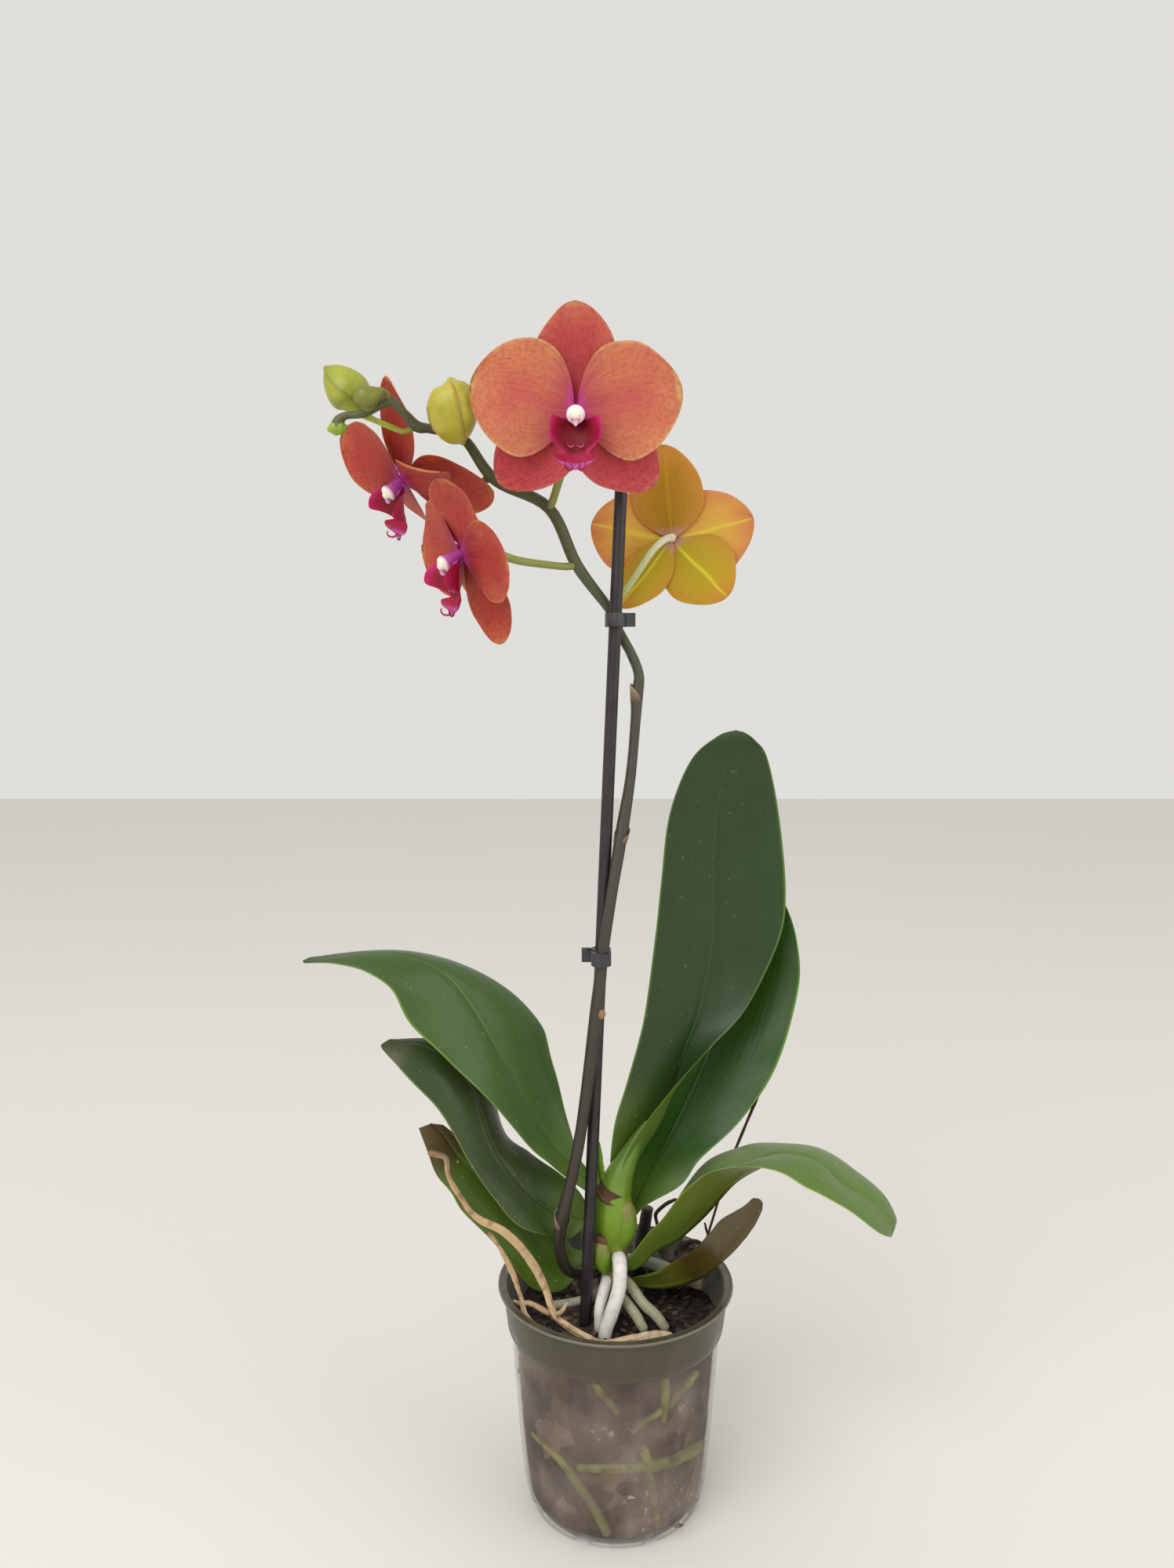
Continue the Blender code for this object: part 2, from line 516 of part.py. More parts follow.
def pot():
    """Thin-walled tapered pot with a stepped shoulder, a flanged rim and drain holes."""
    h, r = POT_HEIGHT, POT_RIM_RADIUS
    flange = [(r, h - 3), (r, h - 0.8), (r - 0.8, h), (r - POT_RIM_WIDTH + 0.6, h),
              (r - POT_RIM_WIDTH, h - 1.0)]
    body = lathe("pot", [(0, 0)] + pot_outside() + flange + pot_inside()[::-1] + [(0, 2.0)],
                 POT_SEGMENTS, "clear_plastic")
    points, faces = [], []
    for n in range(DRAIN_HOLES):
        a = 2 * math.pi * (n + 0.5) / DRAIN_HOLES
        axis = Vector((math.cos(a), math.sin(a), 0))
        run = [(*(axis * 37), 1.0, DRAIN_RADIUS), (*(axis * 50), 1.0, DRAIN_RADIUS)]
        base = len(points)
        points += tube_points(run, 10)
        faces.append(tuple(base + k for k in range(9, -1, -1)))
        faces.append(tuple(base + 10 + k for k in range(10)))
        for k in range(10):
            m = (k + 1) % 10
            faces.append((base + k, base + m, base + 10 + m, base + 10 + k))
    cut(body, hide(add_mesh("tool_drain_holes", points, faces, "clear_plastic")))


def medium(top):
    """Bark medium filling the pot up to a height, a clearance inside its wall."""
    fill = [(43 - 2 * GAP, 4.1)] + [(radius - 2 * GAP, z) for radius, z in pot_inside()[1:]]
    inner = pot_inside()[-1][0] - 2 * GAP
    fill = [row for row in fill if row[1] < top - 1.5]
    rows = pot_inside()
    edge = inner
    for (r0, z0), (r1, z1) in zip(rows, rows[1:]):
        if z0 <= top - 1 < z1:
            edge = r0 + (r1 - r0) * (top - 1 - z0) / (z1 - z0) - 2 * GAP
    return lathe("potting_medium", [(0, 2.4)] + fill + [(edge, top - 1), (edge - 9, top), (0, top)],
                 POT_SEGMENTS, "bark")


def clip(name, spec, stake_tool, spike_tool):
    """Band round the stake and the spike with a finger tab on one side."""
    lean = (spec["z"] - STAKE_FOOT[2]) / (STAKE_TOP[2] - STAKE_FOOT[2])
    x0 = STAKE_FOOT[0] + (STAKE_TOP[0] - STAKE_FOOT[0]) * lean
    near, far = spec["reach"]
    half = 4.9
    outline = []
    for k in range(13):
        a = math.pi * k / 12
        outline.append((x0 + half * math.cos(a), far - half + half * math.sin(a)))
    for k in range(13):
        a = math.pi * (1 + k / 12)
        outline.append((x0 + half * math.cos(a), near + half + half * math.sin(a)))
    side = x0 + spec["tab"] * half
    tab = [(side, -5.8), (side + spec["tab"] * 4.6, -5.8), (side + spec["tab"] * 4.6, -9.6), (side, -9.6)]
    if spec["tab"] > 0:
        outline += [tab[3], tab[2], tab[1], tab[0]]
    else:
        outline = outline[:13] + [tab[0], tab[1], tab[2], tab[3]] + outline[13:]
    n = len(outline)
    low, high = spec["z"] - CLIP_HEIGHT / 2, spec["z"] + CLIP_HEIGHT / 2
    points = [(x, y, low) for x, y in outline] + [(x, y, high) for x, y in outline]
    faces = [tuple(range(n - 1, -1, -1)), tuple(range(n, 2 * n))]
    for k in range(n):
        m = (k + 1) % n
        faces.append((k, m, n + m, n + k))
    body = add_mesh(name, points, faces, "clip")
    cut(body, stake_tool)
    cut(body, spike_tool)


def build():
    """Make every piece of the plant and its pot."""
    for obj in list(bpy.data.objects):
        bpy.data.objects.remove(obj)

    stem_path = [(STEM_X, STEM_Y, z, r) for z, r in STEM_PROFILE]
    tube("stem", stem_path, 16, "stem", 1)
    stem_tool = hide(tube("tool_stem", stem_path, 16, "stem", 1, GAP))
    stake_path = [(*STAKE_FOOT, STAKE_RADIUS), (*STAKE_TOP, STAKE_RADIUS)]
    tube("stake", stake_path, 12, "stake", 1)
    stake_tool = hide(tube("tool_stake", stake_path, 12, "stake", 1, GAP))
    spike = tube("flower_spike", SPIKE, 8, "spike", 2)
    cut(spike, stem_tool)
    cut(spike, stake_tool)
    spike_tool = hide(tube("tool_spike", SPIKE, 8, "spike", 2, GAP))

    pot()
    top = MEDIUM_TOP
    bed = medium(top)
    for tool in (stem_tool, stake_tool):
        cut(bed, tool)

    bed_tool = hide(lathe("tool_bed", [(0, top - 18), (52, top - 18), (52, top + GAP), (0, top + GAP)], 24,
                          "bark"))

    for name, rows in LEAVES.items():
        cut(leaf(name, rows), stem_tool)
    cut(bpy.data.objects["leaf_left_low"], spike_tool)
    for name, path in ROOTS.items():
        root = tube(name, path, 8, "dry_root" if "dry" in name else "root", 2)
        if "dry" not in name:
            for tool in (stem_tool, bed_tool, stake_tool):
                cut(root, tool)
    cut(tube("cut_spike_stub", [(*p, STUB_RADIUS) for p in STUB_PATH], 8, "spike", 1), bed_tool)
    for name, spec in CLIPS.items():
        clip(name, spec, stake_tool, spike_tool)
    for name, path in BUDS.items():
        cut(tube(name, path, 10, "bud", 2), spike_tool)
    for name, (carried, path) in PEDICELS.items():
        spec = FLOWERS[carried]
        at, face = Vector(spec["at"]), Vector(spec["face"]).normalized()
        back = (NECK_BACK + 0.95) * spec["size"]
        ends = [(*(at - face * (back + d)), 1.8) for d in (4, 0)]
        cut(tube(name, list(path) + ends, 8, "spike", 2), spike_tool)
    for name, spec in FLOWERS.items():
        flower(name, spec)

    in_pot = ("pot", "potting_medium", "tool_bed", "tool_drain_holes")
    for obj in bpy.data.objects:
        if obj.name not in in_pot:
            obj.data.transform(Matrix.Translation((0, 0, RAISE * MM)))


build()
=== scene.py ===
"""Moth orchid in a clear nursery pot, dressed for close views.

Shapes are worked out in millimetres, then made in metres. Leaves, roots, stalks and buds follow the
solid model's rows closely; the sepals and petals of the two side flowers have rows of their own.
+Z is up and the origin is the centre of the pot's base.
"""

import math

import bmesh
import bpy
from mathutils import Matrix, Vector, noise


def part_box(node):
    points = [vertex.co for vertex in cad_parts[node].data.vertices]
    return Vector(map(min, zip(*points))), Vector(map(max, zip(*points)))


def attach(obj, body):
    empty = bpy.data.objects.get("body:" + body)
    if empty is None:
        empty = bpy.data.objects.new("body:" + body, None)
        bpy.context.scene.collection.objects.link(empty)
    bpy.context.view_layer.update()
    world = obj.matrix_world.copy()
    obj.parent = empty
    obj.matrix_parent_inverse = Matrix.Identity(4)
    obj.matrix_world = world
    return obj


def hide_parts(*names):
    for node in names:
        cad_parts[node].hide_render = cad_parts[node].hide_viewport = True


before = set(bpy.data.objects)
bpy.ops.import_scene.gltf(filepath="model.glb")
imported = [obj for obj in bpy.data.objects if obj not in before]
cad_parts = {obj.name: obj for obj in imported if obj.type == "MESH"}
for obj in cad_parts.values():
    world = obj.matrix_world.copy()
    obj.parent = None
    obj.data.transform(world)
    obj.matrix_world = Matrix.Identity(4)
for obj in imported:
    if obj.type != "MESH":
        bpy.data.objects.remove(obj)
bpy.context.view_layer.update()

bl_info = {
    "name": "Potted orchid",
    "version": (1, 0, 0),
    "blender": (4, 5, 0),
    "location": "3D View > Sidebar > Orchid",
    "description": "Makes a moth orchid in its nursery pot, piece by piece",
    "category": "Object",
}

MM = 0.001
# float values that every vertex carries: how far along its piece, how far across, and on its back
MARKS = ("along", "across", "back")
# a sepal or petal starts this far from the flower's centre and runs on past its solid's length
TEPAL_START = 1.2
TEPAL_EXTRA = 1.7
# sepals round a closed bud, and how far each winds round it
SEPALS = 3
SEPAL_SWIRL = 0.5
# turn from one scattered chip to the next, in radians, so that none line up
GOLDEN_TURN = 2.39996
# pot: height of the frosted band and its mouldings under the rim, ribs round the band, holes at the foot
BAND = 23.5
BAND_RIBS = 8
DRAIN_HOLES = 8
DRAIN_RADIUS = 4
# the clear wall's slope changes at this height; crumbs lie against it at this radius
WALL_BEND = 38
CRUMB_RADIUS = 48.4
# loose chips are strewn over this radius, and keep clear of the stem and the stake: (x, y, radius)
CHIP_SPREAD = 51
CLEAR_OF = ((-1, 4, 11), (-17, -8, 5))
# faces along and across each thin blade
LEAF_GRID = (110, 44)
TEPAL_GRID = (44, 30)
LIP_GRID = (54, 26)
# half the side of the floor, in metres
FLOOR_HALF = 3.0
# camera: place in metres, tilt below level in degrees, lens and sensor height in mm
CAMERA_AT = (-0.01457, -0.573, 0.432)
CAMERA_TILT = 6.17
LENS = 27.0
SENSOR = 36.0
# the lamps point at this spot, about the middle of the plant
LAMP_TARGET = (0, 0, 0.28)

# leaves: rows of (near or left edge, midrib, far or right edge), base to tip
LEAVES = {
    "leaf_right_upper": (
        ((-4, 6, 159), (0, 8, 157), (3, 4, 158)),
        ((-3, 6, 169), (7, 11, 164), (3, 0, 167)),
        ((-2, 5, 184), (13, 14, 176), (5, -2, 181)),
        ((0, 2, 199), (23, 14, 193), (16, 0, 199)),
        ((5, 4, 215), (30, 16, 211), (32, 3, 218)),
        ((11, 6, 236), (37, 18, 232), (49, 8, 235)),
        ((15, 8, 254), (44, 20, 252), (67, 12, 254)),
        ((20, 12, 292), (50, 22, 287), (84, 18, 288)),
        ((23, 14, 321), (50, 22, 319), (87, 20, 315)),
        ((27, 14, 354), (51, 20, 352), (83, 20, 353)),
        ((37, 12, 381), (55, 16, 379), (76, 17, 382)),
        ((50, 9, 393), (60, 11, 391), (69, 12, 391)),
        ((59, 8, 396), (63, 9, 395), (65, 9, 394)),
    ),
    "leaf_right_rear": (
        ((0, 8, 141), (4, 9, 139), (8, 7, 141)),
        ((4, 13, 148), (9, 17, 144), (16, 12, 148)),
        ((6, 14, 158), (15, 20, 155), (34, 10, 160)),
        ((11, 18, 174), (23, 26, 168), (44, 12, 173)),
        ((19, 22, 194), (33, 31, 186), (65, 16, 192)),
        ((31, 27, 224), (48, 37, 216), (84, 20, 220)),
        ((48, 32, 267), (65, 43, 257), (96, 27, 259)),
        ((58, 34, 292), (74, 43, 285), (96, 32, 282)),
        ((69, 36, 307), (81, 42, 304), (91, 36, 300)),
        ((78, 38, 313), (81, 40, 312), (84, 39, 310)),
    ),
    "leaf_right_arching": (
        ((3, 1, 122), (5, 4, 117), (5, 7, 120)),
        ((8, -1, 128), (11, 4, 119), (11, 9, 124)),
        ((15, -6, 141), (21, 4, 129), (17, 13, 133)),
        ((24, -12, 154), (33, 2, 137), (27, 18, 140)),
        ((32, -17, 168), (45, 0, 150), (36, 22, 150)),
        ((42, -22, 181), (60, -1, 168), (50, 25, 166)),
        ((56, -26, 187), (71, -2, 176), (70, 26, 174)),
        ((77, -28, 185), (83, -3, 182), (86, 25, 176)),
        ((92, -27, 176), (100, -3, 179), (108, 22, 175)),
        ((108, -25, 166), (114, -3, 167), (126, 19, 164)),
        ((125, -19, 152), (127, -2, 158), (140, 14, 153)),
        ((134, -12, 144), (137, -1, 148), (145, 8, 144)),
        ((140, -4, 139), (141, -2, 140), (143, 1, 141)),
    ),
    "leaf_right_low": (
        ((3, 2, 109), (4, 4, 106), (4, 6, 107)),
        ((9, 2, 114), (11, 5, 108), (11, 10, 110)),
        ((21, -7, 122), (26, 2, 110), (24, 13, 112)),
        ((33, -12, 133), (42, 0, 116), (38, 15, 118)),
        ((47, -15, 148), (56, -2, 129), (53, 14, 132)),
        ((59, -14, 158), (66, -4, 142), (64, 10, 145)),
        ((68, -10, 162), (72, -5, 153), (72, 3, 154)),
        ((72, -7, 161), (74, -5, 158), (74, -2, 158)),
    ),
    "leaf_left_upper": (
        ((-8, 3, 155), (-6, 5, 156), (-7, 6, 160)),
        ((-15, 1, 161), (-11, 6, 161), (-12, 7, 167)),
        ((-25, -3, 170), (-20, 4, 170), (-19, 5, 178)),
        ((-34, -8, 180), (-28, 2, 180), (-22, 7, 187)),
        ((-42, -12, 189), (-37, 0, 192), (-26, 10, 200)),
        ((-55, -18, 208), (-46, -3, 209), (-29, 13, 212)),
        ((-67, -24, 224), (-55, -6, 229), (-33, 15, 226)),
        ((-84, -28, 243), (-64, -9, 248), (-37, 14, 243)),
        ((-99, -30, 259), (-75, -12, 268), (-51, 11, 261)),
        ((-107, -31, 276), (-87, -15, 281), (-71, 6, 275)),
        ((-120, -30, 284), (-104, -17, 288), (-95, 0, 285)),
        ((-135, -27, 287), (-125, -19, 289), (-120, -7, 288)),
        ((-150, -22, 286), (-151, -21, 287), (-148, -18, 288)),
    ),
    "leaf_left_middle": (
        ((-8, 2, 141), (-6, 4, 141), (-7, 6, 144)),
        ((-16, 0, 142), (-13, 5, 143), (-13, 7, 149)),
        ((-23, -1, 137), (-21, 5, 145), (-19, 8, 158)),
        ((-32, -5.5, 140), (-32, 2, 150), (-28, 10, 166)),
        ((-48, -15, 150), (-43, -2, 159), (-37, 10, 173)),
        ((-60, -19, 166), (-53, -5, 172), (-45, 9, 179)),
        ((-70, -22, 183), (-61, -7, 185), (-54, 7, 187)),
        ((-78, -24, 200), (-67, -9, 203), (-60, 5, 202)),
        ((-87, -25, 216), (-72, -11, 219), (-64, 3, 218)),
        ((-99, -25, 228), (-83, -13, 235), (-73, 1, 233)),
        ((-108, -22, 237), (-96, -14, 243), (-90, -4, 242)),
        ((-114, -18, 242), (-115, -17, 244), (-111, -14, 246)),
    ),
    "leaf_left_low": (
        ((-7, 5, 115), (-6, 7, 117), (-5, 9, 119)),
        ((-17, 5, 115), (-15, 8, 118), (-13, 11, 123)),
        ((-28, 2, 107), (-25, 7, 115), (-23, 13, 125)),
        ((-43, -4, 112), (-36, 4, 126), (-30, 15, 137)),
        ((-55, -9, 131), (-47, 1, 141), (-39, 15, 150)),
        ((-65, -9, 143), (-57, 0, 153), (-49, 14, 161)),
        ((-77, -9, 155), (-67, -1, 165), (-59, 12, 170)),
        ((-83, -9, 165), (-74, -2, 174), (-67, 10, 178)),
        ((-90, -8, 174), (-81, -2, 182), (-73, 7, 185)),
        ((-95, -7, 187), (-87, -3, 192), (-80, 2, 190)),
        ((-99, -5, 197), (-93, -4, 199), (-87, -3, 198)),
    ),
    "leaf_new": (
        ((-8, 3, 160), (-5, 6, 160), (-2, 3, 161)),
        ((-11, 2, 167), (-8, 5, 167), (-5, 2, 168)),
        ((-12, 1, 174), (-9, 4, 174), (-6, 1, 175)),
        ((-11, 1, 182), (-9, 3, 182), (-7, 1, 182)),
        ((-10, 1, 187), (-9, 2, 187), (-8, 1, 187)),
    ),
}

# flower spike: (x, y, z, radius)
SPIKE = ((-5, 6, 118, 2.4), (-12, 2.2, 116, 2.6), (-18.5, -0.6, 117.5, 2.8), (-25, -5, 123, 2.9),
         (-28.5, -9.5, 137, 2.9), (-27, -13, 153, 3.4), (-23, -14, 171, 2.9), (-19, -14.6, 191, 2.9),
         (-15.5, -15, 214, 2.9), (-10, -15, 259, 3.3), (-7, -14.9, 287, 2.7), (-3, -13.5, 315, 2.6),
         (2, -9, 346, 3.1), (6.5, -6, 374, 2.5), (9, -3.5, 402, 2.5), (9.5, -2.5, 412.5, 3.0),
         (10.5, -2, 423, 2.5), (7, -1.3, 433, 2.4), (2, -0.8, 442, 2.4), (-1, -0.8, 448, 2.4),
         (-4, -1.6, 455, 2.3), (-19.5, -6, 475.5, 2.8), (-32.5, -9.5, 501.5, 2.7),
         (-57.5, -14, 514, 2.7), (-71.5, -16.5, 532, 2.2), (-86, -18.5, 536, 2.1),
         (-92.5, -20, 537, 2.6), (-98, -23, 542.5, 2.0), (-104, -25, 547, 2.2),
         (-115.5, -26, 541.5, 1.8), (-123.5, -26, 540.5, 1.7), (-126.5, -26, 538.5, 2.6),
         (-127.5, -26, 535, 3.6), (-128.5, -26, 532.5, 1.2))
# buds: (x, y, z, radius), stalk first
BUDS = {
    "bud_large": ((-71.5, -17, 530.5, 1.6), (-72, -20, 530.5, 1.8), (-73.5, -24, 532, 3.0),
                  (-74, -28, 534, 8.6), (-74.5, -31, 539, 11.2), (-74.5, -33, 545, 11.3),
                  (-74.5, -34, 551, 8.2), (-75, -34.5, 554, 2.2)),
    "bud_left": ((-92.5, -20, 537, 1.2), (-95, -16.6, 536.5, 1.3), (-99.5, -16, 535.5, 1.3),
                 (-106, -14.5, 538, 1.4), (-115, -14, 542, 1.6), (-119, -15.5, 545.5, 4.2),
                 (-122, -15.5, 550.5, 9.0), (-126, -15.5, 555, 9.6), (-131, -15.5, 560.5, 6.2),
                 (-134.5, -15.5, 564, 1.4)),
    "bud_round": ((-104, -25, 547, 1.2), (-104.5, -28.2, 549.5, 1.3), (-106.5, -30.5, 550.5, 1.4),
                  (-108.5, -32.3, 549, 3.2), (-112, -33.5, 547, 5.4), (-115, -34, 546, 5.2),
                  (-117.5, -34, 545, 1.4)),
}
# aerial roots: (x, y, z, radius)
ROOTS = {
    "root_white_front": ((1, 1, 128, 3.4), (2, -9, 127, 3.6), (1.5, -13.5, 117, 3.5),
                         (-2, -17.5, 107, 3.6), (-5, -19.5, 99, 3.4), (-6, -20.5, 94, 3.2)),
    "root_white_rear": ((-4, 2, 116, 2.6), (-5.5, -5, 113, 2.8), (-8.2, -12.2, 105.5, 2.7),
                        (-8.4, -13.2, 99, 2.6), (-8.4, -13.6, 94, 2.5)),
    "root_front_right": ((2, 1, 116, 2.5), (8, -5, 113, 2.7), (14, -9.5, 106.5, 2.7),
                         (20.5, -12, 101.5, 2.6), (25, -14, 96, 2.4)),
    "root_front_middle": ((1, 0, 109.5, 2.4), (4, -6.5, 107.5, 2.6), (9.5, -12.5, 103, 2.6),
                          (14, -16.5, 97, 2.4)),
    "root_right_flat": ((1, 9, 116, 3.0), (9, 14.5, 117, 3.2), (22, 20.5, 111, 3.3),
                        (35, 20, 105.5, 3.4), (43, 17, 104, 3.9), (46.5, 15.5, 104, 3.7)),
    "root_left_flat": ((-5, 1, 112, 1.8), (-12, -1.8, 106, 2.1), (-22, -3, 103.5, 2.2),
                       (-33, -3, 101.6, 2.2)),
    "root_dry_long": ((-92.5, -14.5, 188, 1.3), (-84.5, -15, 185.5, 1.5), (-83, -15.5, 176.5, 1.6),
                      (-77.5, -16.2, 166.5, 1.6), (-69.5, -16, 155.5, 1.7), (-55, -18.5, 148.5, 1.9),
                      (-43.5, -17, 134.5, 2.0), (-36, -16, 119.5, 2.0), (-31, -22, 108.5, 2.0),
                      (-24, -28, 105.5, 2.0), (-12, -34, 101.5, 2.1), (-6, -36, 100.4, 2.0),
                      (8, -31, 100.6, 1.9), (18, -28, 101.4, 1.8), (26, -28, 100.6, 1.8),
                      (27, -32, 99.8, 1.5)),
    "root_dry_short": ((-63, -14.2, 146.5, 1.1), (-57.5, -16, 139, 1.3), (-51.5, -14.8, 125.5, 1.4),
                       (-48, -15.2, 114, 1.4), (-44.5, -19.5, 104.5, 1.5), (-36, -24.5, 99.9, 1.4)),
}
# open flowers: centre of the face, facing direction, roll and size
FLOWERS = {
    "flower_front": {"at": (-19.5, -42, 539), "face": (0.0, -0.985, -0.17), "roll": 0, "size": 1.04},
    "flower_left": {"at": (-103, 7, 517), "face": (-0.68, -0.47, -0.56), "roll": -20, "size": 1.0},
    "flower_lower": {"at": (-70, -40, 478), "face": (-0.80, -0.46, -0.38), "roll": -6, "size": 1.0},
    "flower_rear": {"at": (27.8, 22, 489.5), "face": (0.10, 0.98, -0.14), "roll": 0, "size": 0.9},
}
# sepals and petals: length, width, angle round the face, lift off the face plane, slope, bend, cup, twist
TEPALS = {
    "sepal_top": (41.5, 35, 90, -0.7, -0.04, -0.08, 2, 0),
    "petal_left": (43, 48, 165, 1.2, 0.06, -0.12, 2, 0),
    "petal_right": (43, 48, 12, 1.2, 0.06, -0.12, 2, 0),
    "sepal_left": (42, 33, 222, -0.7, -0.05, -0.10, 2, 0),
    "sepal_right": (43, 33, -42, -0.7, -0.05, -0.10, 2, 0),
}
# tepals that differ from the usual ones
TEPAL_CHANGES = {
    "flower_left_sepal_top": (45, 25, 89, -0.7, -0.44, 0.22, 2, 0),
    "flower_left_petal_left": (38, 40, 153, 1.2, 0.10, -0.05, 2, 18),
    "flower_left_petal_right": (42, 27, 20, 1.2, -0.14, 0.22, 2, 62),
    "flower_left_sepal_left": (43, 34, 222, -0.7, -0.30, -0.02, 2, -12),
    "flower_left_sepal_right": (44, 35, -8, -0.7, -0.56, 0.20, 2, 8),
    "flower_lower_sepal_top": (33, 35, 74, -0.7, -0.26, 0.36, 2, 14),
    "flower_lower_petal_left": (43, 45, 177, 1.2, -0.20, 0.12, 2, 14),
    "flower_lower_petal_right": (40, 37, -10, 1.2, -0.36, 0.38, 2, -8),
    "flower_lower_sepal_right": (41, 28, -79, -0.7, -0.38, 0.38, 2, -30),
    "flower_lower_sepal_left": (40, 30, 214, -2.8, -0.12, -0.10, 2, 0),
    "flower_rear_sepal_top": (49, 40, 84, -0.7, -0.04, -0.08, 2, 0),
    "flower_rear_sepal_left": (42, 42, 227, -0.7, -0.05, -0.10, 2, 0),
    "flower_rear_sepal_right": (45, 26, -54, -2.8, -0.05, -0.10, 2, 0),
}
# column and its cap, in the flower's own frame: (x, y, z, radius)
COLUMN = ((0, 0, -3, 1.8), (0, 0, 1, 2.2), (0, -0.3, 5, 2.6), (0, -0.9, 8, 3.2), (0, -1.2, 9.8, 2.6))
ANTHER = ((0, -1, 8.4, 2.6), (0, -1.2, 9.6, 3.9), (0, -1.5, 11.2, 3.6), (0, -1.8, 12.3, 2.0))
# lip: (y, z, half width along the curve, rise of the channel)
LIP = ((-2.6, 2.4, 2.4, 9), (-4.4, 4.4, 9.5, 8.2), (-7.2, 6.2, 14, 8.6), (-10.8, 7.4, 15.4, 8.8),
       (-14.0, 8.4, 12.4, 9), (-16.6, 9.0, 5.2, 12), (-19.2, 10.2, 9.2, 15), (-21.8, 12.2, 8.4, 14),
       (-23.6, 14.4, 1.8, 12))
# flower stalks: from the middle of the spike to the back of each flower
PEDICELS = {
    "pedicel_front": ("flower_front", ((-32.5, -9.5, 501.5, 1.9), (-31, -12.4, 503.5, 1.9),
                                       (-29.5, -14, 507.5, 1.8), (-26.5, -20, 516, 1.9),
                                       (-22, -30, 530, 2.0))),
    "pedicel_left": ("flower_left", ((-57.5, -14, 514, 1.8), (-61.5, -11.4, 514.5, 1.7),
                                     (-67, -4, 513.5, 1.7), (-80, 8, 517.5, 1.8),
                                     (-92, 11, 523.5, 1.9))),
    "pedicel_lower": ("flower_lower", ((-19.5, -6, 475.5, 1.7), (-24, -8.6, 474.5, 1.7),
                                       (-32.5, -11.5, 475, 1.7), (-47, -20, 476.5, 1.8),
                                       (-57, -29.5, 479.5, 1.9))),
    "pedicel_rear": ("flower_rear", ((-4, -1.6, 455, 1.5), (-0.5, 3, 458.5, 1.5), (3.5, 6.5, 463, 1.6),
                                     (10, 9.8, 472.5, 1.7), (17, 11.4, 483, 1.8),
                                     (22.5, 13.5, 488.5, 1.8))),
}
# leaves whose right-hand rail is the far one
FACES_UP = ("leaf_right_arching", "leaf_right_low")

# leaf colours: upper side (two greens, vein, groove, rim), underside (two greens), and at the tip the
# colour, the place where it starts, its cover and the cover of pale specks over the whole leaf
LEAF_LOOKS = {
    "leaf_right_upper": (("#1E3413", "#27411A", "#304A21", "#365124", "#658236"),
        ("#485A19", "#566A21"), ("#4F5B33", 0.97, 0.4, 0.15)),
    "leaf_right_rear": (("#20420A", "#294E0F", "#345A14", "#40691E", "#66902A"),
        ("#425616", "#516620"), ("#4C3B26", 0.99, 0.5, 0.1)),
    "leaf_right_arching": (("#4B6821", "#5C7B2B", "#708C34", "#829A3B", "#94A944"),
        ("#57641F", "#6B7A2A"), ("#5B6B3A", 0.96, 0.5, 0.3)),
    "leaf_right_low": (("#5E761C", "#6B7D21", "#798B27", "#88992A", "#7B6D28"),
        ("#626418", "#6F691E"), ("#402A13", 0.42, 0.75, 0.2)),
    "leaf_left_upper": (("#35501C", "#405E26", "#4C6A30", "#62803C", "#7E9A3E"),
        ("#435616", "#526624"), ("#4A4C30", 0.97, 0.5, 0.2)),
    "leaf_left_middle": (("#283716", "#374A20", "#465529", "#526531", "#77873B"),
        ("#394516", "#48561F"), ("#4B4A2E", 0.95, 0.5, 0.2)),
    "leaf_left_low": (("#425C17", "#506B1E", "#5C7825", "#6B8528", "#80852D"),
        ("#596E18", "#6D8220"), ("#4E381D", 0.82, 0.85, 0.9)),
    "leaf_new": (("#699127", "#769E2E", "#83AA38", "#8CB141", "#A1BC53"),
        ("#668727", "#74932E"), ("#7C9A40", 0.99, 0.2, 0.0)),
}

# petals: orange with rosy freckles; lower sepals: redder; top sepals: darker, rusty; side flowers: the same
# tissue in painted shade, a darker red because they face away from the light.
# face colours (middle, body, outer, rim, freckle, stain at the foot, flush at the centre),
# back colours (middle, body, outer, rib, heart) and how strong the freckles are
PETAL_LOOK = (("#B9584C", "#C06E4A", "#C47A50", "#D2B26C", "#AE4A50", "#AC4250", "#C03C84"),
              ("#CEA93E", "#CE9842", "#C67E4A", "#DCCC39", "#C08C80"), 0.5)
SEPAL_LOOK = (("#BB4144", "#BB4347", "#C04D4E", "#D17E67", "#972941", "#8A2438", "#9C2A70"),
              ("#AA9A0C", "#B29613", "#B98827", "#DCD63C", "#C08C80"), 0.5)
TOP_LOOK = (("#A63637", "#AE413B", "#B95C48", "#C59164", "#902935", "#9C2A40", "#A82A80"),
            ("#9D7405", "#A97C0D", "#BD802E", "#B08C08", "#C08C80"), 0.45)
# painted shade: the petal colours darkened and reddened for the flowers that face away from the light
SHADED_LOOK = (("#A9372F", "#AB402F", "#B45238", "#C8874E", "#90222B", "#8E2036", "#A82A80"),
             ("#CE9C38", "#CE8C3C", "#C67444", "#DCBC34", "#C08C80"), 0.45)

